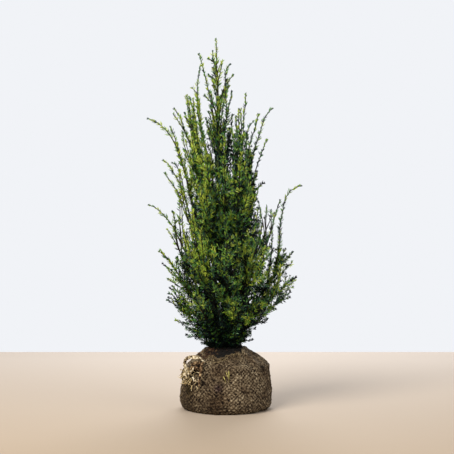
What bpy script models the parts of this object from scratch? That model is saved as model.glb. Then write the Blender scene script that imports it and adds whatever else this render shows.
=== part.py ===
"""Root-balled sapling of common yew: a root ball in hessian, the trunk, its boughs and the plumes of foliage.

Metres, +Z up. The origin is the centre of the ball's flat underside. Azimuths turn from +X, the right, towards
+Y, the back. Each plume of foliage has one course, which leaves the trunk, climbs and arches out to the plume's
tip. On some plumes the first stretch of that course is a bough, and on the others the plume's stem is all of it.
"""

import math
import random

import bpy
import numpy as np

# The root ball: soil in a square of hessian, whose corners are gathered in a bunch on the ball's shoulder.
BALL_HEIGHT = 0.198
BALL_RADIUS = 0.150
BALL_FOOT_RADIUS = 0.124
BALL_SEAT_RADIUS = 0.028
BALL_SLOPE = 0.085
BALL_SHOULDER = 7
BALL_FOOT_ROUNDING = 0.010
BALL_LUMP = 0.035
BALL_SIDES = 26
BALL_ROWS = (0, 0.03, 0.08, 0.16, 0.30, 0.45, 0.60, 0.71, 0.80, 0.87, 0.93, 0.97, 1)
BUNCH_AZIMUTH = math.radians(221)
BUNCH_HEIGHT = 0.128
BUNCH_HALF_WIDTH = 0.040
BUNCH_HALF_HEIGHT = 0.050
BUNCH_DEPTH = 0.022
BUNCH_FOLDS = 7
GAP = 0.0003

# The trunk, from its flat foot on the ball to the tip that the leader grows on from.
TRUNK_FOOT = BALL_HEIGHT + GAP
TRUNK_TOP = 1.000
TRUNK_RADIUS = 0.0105
TRUNK_TIP_RADIUS = 0.0021
TRUNK_FLARE = 0.008
TRUNK_FLARE_HEIGHT = 0.018
TRUNK_LEAN = -0.026
TRUNK_SWAY = 0.006
TRUNK_SIDES = 10
LEADER_TIP = np.array((-0.033, 0.0, 1.186))

# Boughs and the stems of the plumes.
BOUGH_RADIUS = 0.0050
BOUGH_TIP_RADIUS = 0.0030
STEM_RADIUS = 0.0024
STEM_TIP_RADIUS = 0.0014
WHIP_SHARE = 0.16
LEADER_WHIP_SHARE = 0.45

# Sprays: blades whose teeth are the needles.
SPRAY_LENGTH = 0.150
SPRAY_HALF_WIDTH = 0.012
SPRAY_RIDGE = 0.0016
SPRAY_PITCH = 0.062
SPRAY_ANGLE = math.radians(36)
SPRAY_SHORTENING = 0.7
LONG_SPRAY = 0.100
NEEDLE = 0.026
NEEDLE_ANGLE = math.radians(40)
WHIP_WIDTH = 0.5
ROOT_SHARE = 0.38
CLEARANCE = 0.0022
LEAST_REACH = 0.060
REACH_MARGIN = 0.010
GOLDEN_TURN = math.radians(137.5)
TRIES = 12
SAMPLES = 90

# The plumes that shape the outline: name, azimuth in degrees, height where the course leaves the trunk, reach and
# height of the tip, arch of the tip, and the share of the course that is a bough.
SHAPING_PLUMES = (
    ("top_left", 175, 0.800, 0.087, 1.140, 0.1, 0),
    ("top_near", 206, 0.730, 0.092, 1.095, 0.0, 0),
    ("top_right", 45, 0.780, 0.028, 1.110, 0.1, 0),
    ("top_front", 290, 0.690, 0.053, 1.012, 0.1, 0),
    ("left_high", 180, 0.620, 0.130, 1.002, 0.2, 0),
    ("right_high", 350, 0.600, 0.061, 1.009, 0.1, 0),
    ("left_arm", 173, 0.500, 0.168, 0.965, 0.4, 0),
    ("right_arm", 334, 0.420, 0.114, 0.939, 0.3, 0),
    ("left_whip", 187, 0.400, 0.250, 0.930, 0.8, 0.40),
    ("right_whip", 12, 0.450, 0.150, 0.967, 0.5, 0.35),
    ("left_mid", 166, 0.340, 0.212, 0.800, 0.6, 0.40),
    ("left_near", 196, 0.310, 0.201, 0.753, 0.5, 0),
    ("right_mid", 0, 0.370, 0.132, 0.862, 0.3, 0.40),
    ("left_hook", 184, 0.270, 0.248, 0.654, 0.8, 0.38),
    ("right_hook", 357, 0.290, 0.237, 0.716, 0.9, 0.38),
    ("right_near", 336, 0.260, 0.184, 0.665, 0.4, 0),
    ("left_low", 162, 0.250, 0.200, 0.574, 0.4, 0.38),
    ("left_foot", 196, 0.228, 0.216, 0.505, 0.5, 0),
    ("right_low", 10, 0.250, 0.217, 0.500, 0.4, 0.38),
    ("right_foot", 346, 0.226, 0.228, 0.424, 0.5, 0),
    ("skirt_left", 181, 0.216, 0.190, 0.347, 0.5, 0),
    ("skirt_right", 2, 0.216, 0.205, 0.372, 0.4, 0),
)
# The plumes of the front, the back and the inside, in rings: name, azimuths in degrees, height where the first
# leaves the trunk, reach, height of the first tip and the drop from each tip to the next.
RINGS = (
    ("crown", (70, 125), 0.700, 0.085, 1.020, 0.04),
    ("middle", (238, 268, 300, 50, 92, 135), 0.430, 0.135, 0.880, 0.02),
    ("inner", (215, 325, 95), 0.330, 0.085, 0.640, 0.03),
    ("lower", (232, 270, 308, 50, 90, 130), 0.250, 0.190, 0.620, 0.01),
    ("skirt", (232, 282, 322, 60, 118), 0.219, 0.165, 0.370, 0.01),
)
RING_ARCH = 0.3
RING_STAGGER = 0.012


def clear_scene():
    for thing in list(bpy.data.objects):
        bpy.data.objects.remove(thing)


def add_mesh(name, points, faces):
    """An object of this mesh in the scene."""
    mesh = bpy.data.meshes.new(name)
    mesh.from_pydata([tuple(point) for point in points], [], faces)
    thing = bpy.data.objects.new(name, mesh)
    bpy.context.scene.collection.objects.link(thing)
    return thing


def paint(thing, name, colour, roughness):
    """Gives the object its one material."""
    material = bpy.data.materials.new(name)
    material.use_nodes = True
    shader = material.node_tree.nodes["Principled BSDF"]
    shader.inputs["Base Color"].default_value = (*colour, 1)
    shader.inputs["Roughness"].default_value = roughness
    shader.inputs["Metallic"].default_value = 0
    thing.data.materials.append(material)


def apply_modifiers(thing):
    """Replaces the object's mesh with what its modifiers make of it."""
    bpy.context.view_layer.update()
    evaluated = thing.evaluated_get(bpy.context.evaluated_depsgraph_get())
    result = bpy.data.meshes.new_from_object(evaluated)
    thing.modifiers.clear()
    thing.data = result


def cut_away(thing, cutter):
    """Cuts the cutter's shape out of the object."""
    boolean = thing.modifiers.new("cut", "BOOLEAN")
    boolean.operation = "DIFFERENCE"
    boolean.object = cutter
    apply_modifiers(thing)


def fuse(thing, parts):
    """Fuses a collection of parts into the object in one union, and removes them."""
    boolean = thing.modifiers.new("union", "BOOLEAN")
    boolean.operation = "UNION"
    boolean.operand_type = "COLLECTION"
    boolean.collection = parts
    apply_modifiers(thing)
    for part in list(parts.objects):
        bpy.data.objects.remove(part)
    bpy.data.collections.remove(parts)


def unit(vector):
    return vector / np.linalg.norm(vector)


def path_length(points):
    return float(np.linalg.norm(np.diff(points, axis=0), axis=1).sum())


def ring_faces(rings, sides):
    """Faces between rings of points, with flat ends."""
    faces = [tuple(reversed(range(sides)))]
    for low in range(0, (rings - 1) * sides, sides):
        for side in range(sides):
            after = (side + 1) % sides
            faces.append((low + side, low + after, low + sides + after, low + sides + side))
    faces.append(tuple(range((rings - 1) * sides, rings * sides)))
    return faces


def ball_radius(height):
    """Radius of the ball at this height: nearly upright sides, a square shoulder and a low dome with a flat seat."""
    height = np.clip(height, 0, BALL_HEIGHT)
    foot = (BALL_RADIUS - BALL_FOOT_RADIUS) * np.exp(-height / BALL_FOOT_ROUNDING)
    side = BALL_RADIUS - BALL_SLOPE * height - foot
    dome = np.sqrt(1 - (height / BALL_HEIGHT) ** BALL_SHOULDER)
    return BALL_SEAT_RADIUS + (side - BALL_SEAT_RADIUS) * dome


def ball_point(azimuth, height, grow):
    """A point on the ball's skin, which is a little out of round, most of all half way up."""
    wave = 0.5 * math.sin(2 * azimuth + 0.7) + 0.3 * math.sin(3 * azimuth - 1.1) + 0.2 * math.sin(5 * azimuth + 2)
    lump = 1 + BALL_LUMP * wave * math.sin(math.pi * height / BALL_HEIGHT)
    radius = float(ball_radius(height)) * lump + grow
    return np.array((radius * math.cos(azimuth), radius * math.sin(azimuth), height))


def ball_mesh(grow):
    turns = [2 * math.pi * side / BALL_SIDES for side in range(BALL_SIDES)]
    points = [ball_point(turn, share * BALL_HEIGHT, grow) for share in BALL_ROWS for turn in turns]
    return points, ring_faces(len(BALL_ROWS), BALL_SIDES)


def build_root_ball():
    ball = add_mesh("root_ball", *ball_mesh(0))
    paint(ball, "hessian over soil", (0.115, 0.085, 0.060), 0.95)


def build_bunch():
    """The gathered corners of the cloth: a folded cushion that lies against the ball, 0.3 mm clear of it."""
    outward = np.array((math.cos(BUNCH_AZIMUTH), math.sin(BUNCH_AZIMUTH), 0.0))
    across = np.array((-outward[1], outward[0], 0.0))
    centre = ball_point(BUNCH_AZIMUTH, BUNCH_HEIGHT, 0)
    sides, points = 2 * BUNCH_FOLDS, []
    for tilt in np.radians((-60, -20, 10, 35, 60, 80)):
        for side in range(sides):
            turn = 2 * math.pi * side / sides
            fold = 1 + 0.10 * (-1) ** side
            reach = math.cos(tilt) * fold * BUNCH_HALF_WIDTH * math.cos(turn) * across
            rise = math.cos(tilt) * fold * BUNCH_HALF_HEIGHT * math.sin(turn)
            points.append(centre + reach + outward * BUNCH_DEPTH * math.sin(tilt) + np.array((0, 0, rise)))
    bunch = add_mesh("hessian_bunch", points, ring_faces(len(points) // sides, sides))
    cutter = add_mesh("ball_cutter", *ball_mesh(1.4 * GAP))
    cut_away(bunch, cutter)
    bpy.data.objects.remove(cutter)
    paint(bunch, "hessian gathered", (0.36, 0.28, 0.17), 0.9)


def trunk_axis(height):
    """Centre of the trunk at this height or these heights."""
    height = np.asarray(height, float)
    share = (height - TRUNK_FOOT) / (TRUNK_TOP - TRUNK_FOOT)
    x = TRUNK_LEAN * share + TRUNK_SWAY * np.sin(2 * math.pi * share)
    y = 0.7 * TRUNK_SWAY * np.sin(3 * math.pi * share)
    return np.stack((x, y, height), axis=-1)


def trunk_radius(height):
    share = (height - TRUNK_FOOT) / (TRUNK_TOP - TRUNK_FOOT)
    taper = TRUNK_TIP_RADIUS + (TRUNK_RADIUS - TRUNK_TIP_RADIUS) * (1 - share) ** 0.8
    return taper + TRUNK_FLARE * np.exp(-(height - TRUNK_FOOT) / TRUNK_FLARE_HEIGHT)


def trunk_mesh(grow):
    """The trunk, or with some growth the shape that its limbs are cut to. Its rings are level, so its foot is flat."""
    flare = TRUNK_FOOT + TRUNK_FLARE_HEIGHT * np.array((0, 0.4, 0.9, 1.6, 2.6))
    heights = np.concatenate((flare, np.linspace(TRUNK_FOOT + 5 * TRUNK_FLARE_HEIGHT, TRUNK_TOP, 11)))
    turns = 2 * math.pi * np.arange(TRUNK_SIDES) / TRUNK_SIDES
    ring = np.column_stack((np.cos(turns), np.sin(turns), 0 * turns))
    points = [centre + (trunk_radius(centre[2]) + grow) * spoke for centre in trunk_axis(heights) for spoke in ring]
    return points, ring_faces(len(heights), TRUNK_SIDES)


def build_trunk():
    trunk = add_mesh("trunk", *trunk_mesh(0))
    paint(trunk, "yew bark", (0.090, 0.045, 0.028), 0.85)


def tube_mesh(centres, start_radius, end_radius, sides):
    """A tapering limb along these points, with each ring square to it."""
    tangents = np.gradient(centres, axis=0)
    radii = np.linspace(start_radius, end_radius, len(centres))
    spoke = unit(np.cross(tangents[0], (0.31, 0.77, 0.20)))
    points = []
    for centre, tangent, radius in zip(centres, tangents, radii):
        tangent = unit(tangent)
        spoke = unit(spoke - tangent * (spoke @ tangent))
        other = np.cross(tangent, spoke)
        for side in range(sides):
            turn = 2 * math.pi * side / sides
            points.append(centre + radius * (spoke * math.cos(turn) + other * math.sin(turn)))
    return points, ring_faces(len(centres), sides)


def all_plumes():
    """Every plume but the leader, as rows of the same kind as SHAPING_PLUMES."""
    rows = list(SHAPING_PLUMES)
    for ring, azimuths, foot, reach, tip, drop in RINGS:
        for index, azimuth in enumerate(azimuths):
            height = foot + RING_STAGGER * (index % 3)
            rows.append((f"{ring}_{index + 1}", azimuth, height, reach, tip - drop * index, RING_ARCH, 0))
    return rows


def course(plume, share):
    """Points on a plume's course, from the trunk's centre at share 0 to the plume's tip at share 1."""
    _, azimuth, foot_height, reach, tip_height, arch, _ = plume
    share = np.asarray(share, float)
    foot = trunk_axis(foot_height)
    turn = math.radians(azimuth)
    out = (1 - 0.3 * arch) * (1 - (1 - share) ** 1.7) + 0.3 * arch * share**6
    rise = (1 - 0.9 * arch) * share + 0.9 * arch * (4 * share - share**4) / 3
    x = foot[0] + out * (reach * math.cos(turn) - foot[0])
    y = foot[1] + out * (reach * math.sin(turn) - foot[1])
    return np.stack((x, y, foot_height + rise * (tip_height - foot_height)), axis=-1)


def stem_path(plume):
    """The stretch of the course that is the plume's own stem, which starts 0.3 mm beyond its bough."""
    bough = plume[6]
    start = bough + GAP / path_length(course(plume, np.linspace(0, 1, SAMPLES))) if bough else 0
    return lambda share: course(plume, start + (1 - start) * np.asarray(share, float))


def leader_path(share):
    """The leader goes on from the trunk's tip."""
    foot = trunk_axis(TRUNK_TOP) + np.array((0, 0, GAP))
    return foot + np.asarray(share, float)[..., None] * (LEADER_TIP - foot)


class Crown:
    """Where every stem and limb runs, so that each plume keeps to its own space."""

    def __init__(self, plumes):
        samples = np.linspace(0, 1, SAMPLES)
        heights = np.linspace(TRUNK_FOOT, TRUNK_TOP, 3 * SAMPLES)
        limbs, radii = [trunk_axis(heights)], [trunk_radius(heights)]
        self.stems = {"leader": leader_path(samples)}
        for plume in plumes:
            name, bough = plume[0], plume[6]
            self.stems[name] = stem_path(plume)(samples)
            if bough:
                limbs.append(course(plume, bough * samples))
                radii.append(np.linspace(BOUGH_RADIUS, BOUGH_TIP_RADIUS, SAMPLES))
        self.limbs, self.radii = np.concatenate(limbs), np.concatenate(radii)

    def allows(self, points, name):
        """Whether these points are in this plume's space: inside its reach, clear of limbs and nearest to its stem."""
        tip = self.stems[name][-1]
        reach = max(math.hypot(tip[0], tip[1]), LEAST_REACH) + REACH_MARGIN
        if (np.hypot(points[:, 0], points[:, 1]) > reach).any() or points[:, 2].max() > tip[2] + CLEARANCE:
            return False
        if (np.linalg.norm(points[:, None] - self.limbs, axis=2) - self.radii).min() < CLEARANCE:
            return False
        low = points[points[:, 2] < BALL_HEIGHT + 2 * CLEARANCE]
        if (np.hypot(low[:, 0], low[:, 1]) < ball_radius(low[:, 2]) * (1 + BALL_LUMP) + 2 * CLEARANCE).any():
            return False
        own = np.linalg.norm(points[:, None] - self.stems[name], axis=2).min(axis=1)
        others = np.concatenate([stem for other, stem in self.stems.items() if other != name])
        return bool((np.linalg.norm(points[:, None] - others, axis=2).min(axis=1) - own > 2 * CLEARANCE).all())


def spray_mesh(foot, along, up, length, width, root, allows):
    """A spray: a narrow blade with a flat underside and a ridge on top, whose teeth are its needles.

    It widens from its root, which is sunk in the stem. A needle whose point isn't allowed is left out, and nothing
    comes back where the blade itself isn't allowed.
    """
    side = unit(np.cross(up, along))
    lift = np.cross(along, side)
    pairs = 4 if length > LONG_SPRAY else 3
    shares = np.arange(pairs) / pairs
    stations = [0, *(length * (0.16 + 0.72 * shares))]
    halves = [root, *(width * SPRAY_HALF_WIDTH * (1 - 0.6 * shares))]
    ridges = [root, *np.linspace(SPRAY_RIDGE, SPRAY_RIDGE / 2, pairs)]
    ahead = width * NEEDLE * math.cos(NEEDLE_ANGLE)
    beside = width * NEEDLE * math.sin(NEEDLE_ANGLE)
    curl = 0.1 * width * NEEDLE

    def at(distance, across, height):
        return foot + along * distance + side * across + lift * height

    blade = [at(d, edge * half, 0) for d, half in zip(stations[1:], halves[1:]) for edge in (-1, 0, 1)]
    if not allows(np.array([*blade, at(length, 0, 0)])):
        return None
    points, faces = [], []

    def place(distance, across, height):
        points.append(at(distance, across, height))
        return len(points) - 1

    spine = [place(d, 0, ridge) for d, ridge in zip(stations, ridges)]
    end = place(length, 0, 0)
    rims = {}
    for edge in (1, -1):
        rim = rims[edge] = [*(place(d, edge * half, 0) for d, half in zip(stations, halves)), end]
        spans = [(spine[0], rim[0], rim[1]), (spine[0], rim[1], spine[1])]
        for index in range(1, pairs + 1):
            point = (stations[index] + ahead, edge * (halves[index] + beside), curl)
            middle = (stations[index] + 0.5 * ahead, edge * (halves[index] + 0.5 * beside), 0)
            if allows(np.array((at(*point), at(*middle)))):
                tip = place(*point)
                spans += [(spine[index], rim[index], tip), (spine[index], tip, rim[index + 1])]
                spans.append((rim[index + 1], tip, rim[index]))
            else:
                spans.append((spine[index], rim[index], rim[index + 1]))
            if index < pairs:
                spans.append((spine[index], rim[index + 1], spine[index + 1]))
        faces += [tuple(reversed(face)) if edge > 0 else face for face in spans]
    left, right = rims[1], rims[-1]
    for index in range(pairs):
        faces.append((left[index], left[index + 1], right[index + 1], right[index]))
    faces.append((left[pairs], end, right[pairs]))
    faces.append((left[0], right[0], spine[0]))
    return points, faces


def side_spray(path, share, turn, spread, sway, size, root, allows):
    """A spray that leaves the stem at this share of its length, turned about the stem and faced away from the trunk."""
    foot, ahead = path(np.array((share, share + 0.02)))
    tangent = unit(ahead - foot)
    across = unit(np.cross(tangent, (math.sin(turn), math.cos(turn), 0.13)))
    along = unit(tangent * math.cos(spread) + across * math.sin(spread) + np.array((0, 0, 0.12)))
    outward = np.array((foot[0] + sway[0], foot[1] + sway[1], 0.02))
    up = unit(outward - along * (outward @ along))
    return spray_mesh(foot, along, up, size, 0.35 + 0.65 * size / SPRAY_LENGTH, root, allows)


def tip_spray(path, whip_share, allows):
    """The spray that ends the stem, sunk 5 mm into it. It is narrowed where its neighbours leave less room."""
    foot, tip = path(np.array((1 - whip_share, 1.0)))
    along = unit(tip - foot)
    foot = foot - 0.005 * along
    up = unit(np.cross(along, (0.2, 0.98, 0.05)))
    length, root = np.linalg.norm(tip - foot), ROOT_SHARE * STEM_TIP_RADIUS
    shapes = (spray_mesh(foot, along, up, length, WHIP_WIDTH * share, root, allows) for share in (1, 0.7, 0.4))
    return next(filter(None, shapes), None)


def grow_plume(name, path, whip_share, crown, cutter):
    """One mass of foliage: a stem, the sprays that branch from it by a seeded rule, and the spray at its tip."""
    chance = random.Random("yew " + name)
    stem = path(np.linspace(0, 1 - whip_share, 6))
    plume = add_mesh("foliage_" + name, *tube_mesh(stem, STEM_RADIUS, STEM_TIP_RADIUS, 3))
    if cutter:
        cut_away(plume, cutter)

    def allows(points):
        return crown.allows(points, name)

    shapes = [tip_spray(path, whip_share, allows)]
    turn = chance.uniform(0, 2 * math.pi)
    count = max(4, round(path_length(path(np.linspace(0, 1, SAMPLES))) / SPRAY_PITCH))
    for share in np.linspace(0.08, 0.97 - whip_share, count):
        root = ROOT_SHARE * np.interp(share, (0, 1 - whip_share), (STEM_RADIUS, STEM_TIP_RADIUS))
        length = SPRAY_LENGTH * (1 - SPRAY_SHORTENING * share)
        shape = None
        for attempt in range(TRIES):
            turn += GOLDEN_TURN
            spread = SPRAY_ANGLE * chance.uniform(0.85, 1.25)
            sway = chance.uniform(-0.05, 0.05), chance.uniform(-0.05, 0.05)
            size = length * (1 - 0.05 * attempt)
            shape = shape or side_spray(path, share, turn, spread, sway, size, root, allows)
        shapes.append(shape)

    sprays = bpy.data.collections.new("sprays of " + name)
    bpy.context.scene.collection.children.link(sprays)
    for shape in filter(None, shapes):
        spray = add_mesh("spray", *shape)
        bpy.context.scene.collection.objects.unlink(spray)
        sprays.objects.link(spray)
    fuse(plume, sprays)
    paint(plume, "yew foliage " + name, (0.075, 0.115, 0.022), 0.6)


def build_bough(plume, cutter):
    """A bough, whose foot is cut to the trunk 0.3 mm clear and whose tip meets its plume's stem."""
    name, share = plume[0], plume[6]
    centres = course(plume, np.linspace(0, share, 7))
    bough = add_mesh("bough_" + name, *tube_mesh(centres, BOUGH_RADIUS, BOUGH_TIP_RADIUS, 6))
    cut_away(bough, cutter)
    paint(bough, "yew bark of " + name, (0.100, 0.055, 0.030), 0.85)


def build_crown():
    plumes = all_plumes()
    crown = Crown(plumes)
    cutter = add_mesh("trunk_cutter", *trunk_mesh(GAP))
    for plume in plumes:
        if plume[6]:
            build_bough(plume, cutter)
        grow_plume(plume[0], stem_path(plume), WHIP_SHARE, crown, None if plume[6] else cutter)
    grow_plume("leader", leader_path, LEADER_WHIP_SHARE, crown, None)
    bpy.data.objects.remove(cutter)


clear_scene()
build_root_ball()
build_bunch()
build_trunk()
build_crown()
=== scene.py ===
import math
import random

import bpy
import numpy as np
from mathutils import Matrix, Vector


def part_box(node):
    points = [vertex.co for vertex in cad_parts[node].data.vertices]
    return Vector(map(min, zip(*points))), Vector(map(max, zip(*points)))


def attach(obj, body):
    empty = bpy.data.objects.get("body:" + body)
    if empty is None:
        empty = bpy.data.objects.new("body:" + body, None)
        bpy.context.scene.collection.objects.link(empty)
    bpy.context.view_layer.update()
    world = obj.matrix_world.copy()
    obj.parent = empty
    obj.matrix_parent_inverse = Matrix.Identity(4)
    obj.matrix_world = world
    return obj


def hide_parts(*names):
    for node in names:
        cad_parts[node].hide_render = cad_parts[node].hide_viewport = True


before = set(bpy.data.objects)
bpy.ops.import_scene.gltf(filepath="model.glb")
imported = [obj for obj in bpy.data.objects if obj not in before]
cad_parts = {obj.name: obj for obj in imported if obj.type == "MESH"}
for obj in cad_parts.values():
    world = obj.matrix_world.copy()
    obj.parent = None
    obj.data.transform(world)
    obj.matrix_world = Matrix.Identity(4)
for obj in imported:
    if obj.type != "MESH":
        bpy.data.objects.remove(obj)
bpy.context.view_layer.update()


# ---- Floor, light and camera ----
# A square board of plain pale floor in a pale room, with a painted fall of light that makes it a little
# paler at the back. One large soft lamp stands in front on the left, a weaker one on the right and one
# behind. The camera looks level from three metres and a half.
FLOOR_SIDE = 3.10
FLOOR_CORNER = 0.20
FLOOR_NEAR, FLOOR_FAR = -1.0, 1.5
ROOM_COLOUR = "#F1F3F7"
ROOM_LIGHT = 0.36
CAMERA_DISTANCE = 3.458
CAMERA_HEIGHT = 0.584
CAMERA_ASIDE = 0.003
CAMERA_LENS = 85
CAMERA_SENSOR = 36
AIM_HEIGHT = 0.55
# Each lamp's name, place, side, power and colour.
LAMPS = (
    ("key_lamp", (-1.9, -2.6, 3.0), 2.2, 230, "#FFFBF2"),
    ("fill_lamp", (2.4, -1.8, 1.5), 2.4, 34, "#F8F6F2"),
    ("back_lamp", (0.4, 2.6, 2.4), 2.4, 90, "#FFFFFF"),
)


def linear(colour):
    """An sRGB hex colour as linear red, green, blue and alpha."""
    shares = [int(colour[start : start + 2], 16) / 255 for start in (1, 3, 5)]
    curve = [share / 12.92 if share <= 0.04045 else ((share + 0.055) / 1.055) ** 2.4 for share in shares]
    return (*curve, 1)


def add_node(tree, kind, inputs=None, stops=None, **settings):
    """Adds a node. Each input is a value or the socket that feeds it, and stops are those of a ramp."""
    node = tree.nodes.new("ShaderNode" + kind)
    for name, value in settings.items():
        setattr(node, name, value)
    for name, value in (inputs or {}).items():
        if isinstance(value, bpy.types.NodeSocket):
            tree.links.new(value, node.inputs[name])
        else:
            node.inputs[name].default_value = value
    for index, (place, colour) in enumerate(stops or ()):
        ramp = node.color_ramp.elements
        stop = ramp[index] if index < len(ramp) else ramp.new(place)
        stop.position = place
        stop.color = linear(colour)
    return node


def new_material(name, roughness, specular):
    """A material with its node tree and its shader, whose fixed numbers are set on its own sockets."""
    material = bpy.data.materials.new(name)
    material.use_nodes = True
    shader = material.node_tree.nodes["Principled BSDF"]
    shader.inputs["Roughness"].default_value = roughness
    shader.inputs["Specular IOR Level"].default_value = specular
    return material, material.node_tree, shader


def deselect():
    """Leaves nothing selected, so that the next operator works on its own piece only."""
    if bpy.context.mode != "OBJECT":
        bpy.ops.object.mode_set(mode="OBJECT")
    bpy.ops.object.select_all(action="DESELECT")


deselect()
bpy.ops.mesh.primitive_plane_add(size=FLOOR_SIDE)
floor = bpy.context.object
floor.name = "floor_board"
bpy.ops.object.mode_set(mode="EDIT")
bpy.ops.mesh.bevel(offset=FLOOR_CORNER, segments=12, affect="VERTICES")
bpy.ops.object.mode_set(mode="OBJECT")

# Floor board: matt warm grey paint, with a painted fall of light: darker near the camera, paler at the back.
paint, tree, shader = new_material("floor board, matt, with painted fall of light", 0.75, 0.3)
local = add_node(tree, "TexCoord")
axes = add_node(tree, "SeparateXYZ", {0: local.outputs["Object"]})
backwards = {"Value": axes.outputs["Y"], "From Min": FLOOR_NEAR, "From Max": FLOOR_FAR}
depth = add_node(tree, "MapRange", backwards)
# Painted fall of light: the board darkens towards the camera and pales towards the back.
painted_falloff = add_node(tree, "ValToRGB", {0: depth.outputs[0]}, stops=((0.1, "#A5937F"), (0.9, "#C3B7AC")))
tree.links.new(painted_falloff.outputs[0], shader.inputs["Base Color"])
floor.data.materials.append(paint)

# The room's walls are pale, and the light that they send back on the plant is weaker than they look.
room = bpy.data.worlds.new("pale room")
room.use_nodes = True
tree = room.node_tree
walls = tree.nodes["Background"]
walls.inputs["Color"].default_value = linear(ROOM_COLOUR)
glow = add_node(tree, "Background", {"Color": linear(ROOM_COLOUR), "Strength": ROOM_LIGHT})
ray = add_node(tree, "LightPath")
either = {0: ray.outputs["Is Camera Ray"], 1: glow.outputs[0], 2: walls.outputs[0]}
seen = add_node(tree, "MixShader", either)
tree.links.new(seen.outputs[0], tree.nodes["World Output"].inputs["Surface"])
bpy.context.scene.world = room
bpy.context.scene.view_settings.view_transform = "Standard"

for name, place, size, power, colour in LAMPS:
    deselect()
    bpy.ops.object.light_add(type="AREA", location=place)
    lamp = bpy.context.object
    lamp.name = name
    lamp.data.size = size
    lamp.data.energy = power
    lamp.data.color = linear(colour)[:3]
    towards = np.array((0, 0, AIM_HEIGHT)) - np.array(place)
    tilt = math.atan2(math.hypot(towards[0], towards[1]), -towards[2])
    lamp.rotation_euler = (tilt, 0, math.atan2(towards[1], towards[0]) - math.pi / 2)

deselect()
camera_place = (CAMERA_ASIDE, -CAMERA_DISTANCE, CAMERA_HEIGHT)
bpy.ops.object.camera_add(location=camera_place, rotation=(math.pi / 2, 0, 0))
camera = bpy.context.object
camera.data.lens = CAMERA_LENS
camera.data.sensor_width = CAMERA_SENSOR
bpy.context.scene.camera = camera


# ---- Root ball: the cloth ----
# The ball of soil is wrapped in a square of hessian, a coarse jute cloth, drawn tight up the sides and over
# the shoulder. It opens round the stem, wider towards the front left, and its rim is tucked in over the
# soil.
BALL_FOOT, BALL_TOP = (corner[2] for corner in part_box("root_ball"))
BALL_HEIGHT = BALL_TOP - BALL_FOOT
BALL_RADIUS = 0.150
BALL_SLOPE = 0.085
BALL_FOOT_DRAW = 0.026
BALL_FOOT_ROUNDING = 0.010
BALL_LUMP = 0.035
SHOULDER_RADIUS = 0.065
SHOULDER_HEIGHT = 0.194
SHOULDER_FALL = 0.67
SHOULDER_SOFTNESS = 0.006
RIM_RADIUS = 0.058
RIM_OPENING = 0.034
OPENING_AZIMUTH = math.radians(252)
OPENING_WIDTH = 0.95
RIM_EDGE = 0.003
RIM_ROLL = 0.004
RIM_TUCK = 0.012
# Waves round the ball: how many go round, how deep each is and its phase. The lumps are shares of
# BALL_LUMP.
LUMPS = ((2, 0.5, 0.7), (3, 0.3, -1.1), (5, 0.2, 2))
RUFFLES = ((7, 0.0035, 1), (13, 0.0025, 0), (29, 0.0015, 0))
PLEATS = ((17, 0.0016, 0.4), (26, 0.0010, 2.1), (9, 0.0018, 1.3))
# Where the pleats start and where they are full, up the ball and out from its middle.
PLEAT_HEIGHTS, PLEAT_RADII = (0.120, 0.165), (0.030, 0.060)
# The folds that pull towards the bunch: its place, how far they reach, how deep and how many they are.
BUNCH_AZIMUTH, BUNCH_HEIGHT = math.radians(221), 0.128
PULL_REACH, PULL_DEPTH, PULL_FOLDS, PULL_RADII = 0.075, 0.0022, 11, (0.06, 0.10)
# The upright edge where the cloth overlaps itself: its place, its thickness and how far that fades out.
FOLD_AZIMUTH, FOLD_LOW, FOLD_HIGH = math.radians(247), 0.075, 0.168
FOLD_DEPTH, FOLD_EDGE, FOLD_FADE = 0.0048, 0.0015, 0.030
# Fine wrinkles low on the front, and the dent in the left shoulder under the bunch: each one's azimuth and
# height, how widely it spreads round and up, and its depth.
WRINKLE_AZIMUTH, WRINKLE_HEIGHT = math.radians(262), 0.026
WRINKLE_TURN, WRINKLE_SPAN, WRINKLE_DEPTH = 0.45, 0.016, 0.0018
DENT_AZIMUTH, DENT_HEIGHT = math.radians(192), 0.152
DENT_TURN, DENT_SPAN, DENT_DEPTH = 0.55, 0.022, 0.020
# The cloth's relief, from its wide dents to its lumpy yarn: size and depth.
CLOTH_RELIEF = ((0.050, 0.010), (0.016, 0.0045), (0.0065, 0.0036))
CLOTH_COLUMNS, CLOTH_ROWS = 360, 170
CLOTH_ROUND, CLOTH_LENGTH = 2 * math.pi * BALL_RADIUS, 0.50
FOOT_PRESSED, FOOT_LIFT = 0.003, 0.002
THREAD_PITCH = 0.0070
# Marks multiplied into the cloth's colour: their place, their radius and their colour. The first two are
# painted shade in the hollow under the knot and under the inner roll, the third a painted shadow in a slit
# low on the front, and the last a painted shadow beside the hanging fold. The others are a green tint low on
# the left, a purple tint at the front, and darker patches over the lower left, the low front, the front of
# the neck and the right shoulder.
STAINS_AND_PAINTED_SHADE = (
    ((-0.108, -0.092, 0.128), 0.024, "#2A1D14"),
    ((-0.090, -0.108, 0.148), 0.018, "#3A291D"),
    ((-0.012, -0.139, 0.097), 0.010, "#1E1814"),
    ((-0.118, -0.085, 0.072), 0.034, "#A8A678"),
    ((-0.024, -0.139, 0.084), 0.022, "#B3A3C6"),
    ((-0.118, -0.080, 0.060), 0.140, "#B0A89C"),
    ((-0.020, -0.145, 0.040), 0.080, "#BDB2A8"),
    ((0.020, -0.070, 0.175), 0.050, "#C9C0A6"),
    ((0.120, -0.070, 0.140), 0.020, "#6E5D4C"),
    ((-0.070, -0.125, 0.095), 0.012, "#4A3A2C"),
)
# The sockets of a mix of two colours: its share, the colour below, the one above and the result.
MIX_SHARE, MIX_BELOW, MIX_ABOVE, MIX_RESULT = 0, 6, 7, 2


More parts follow.
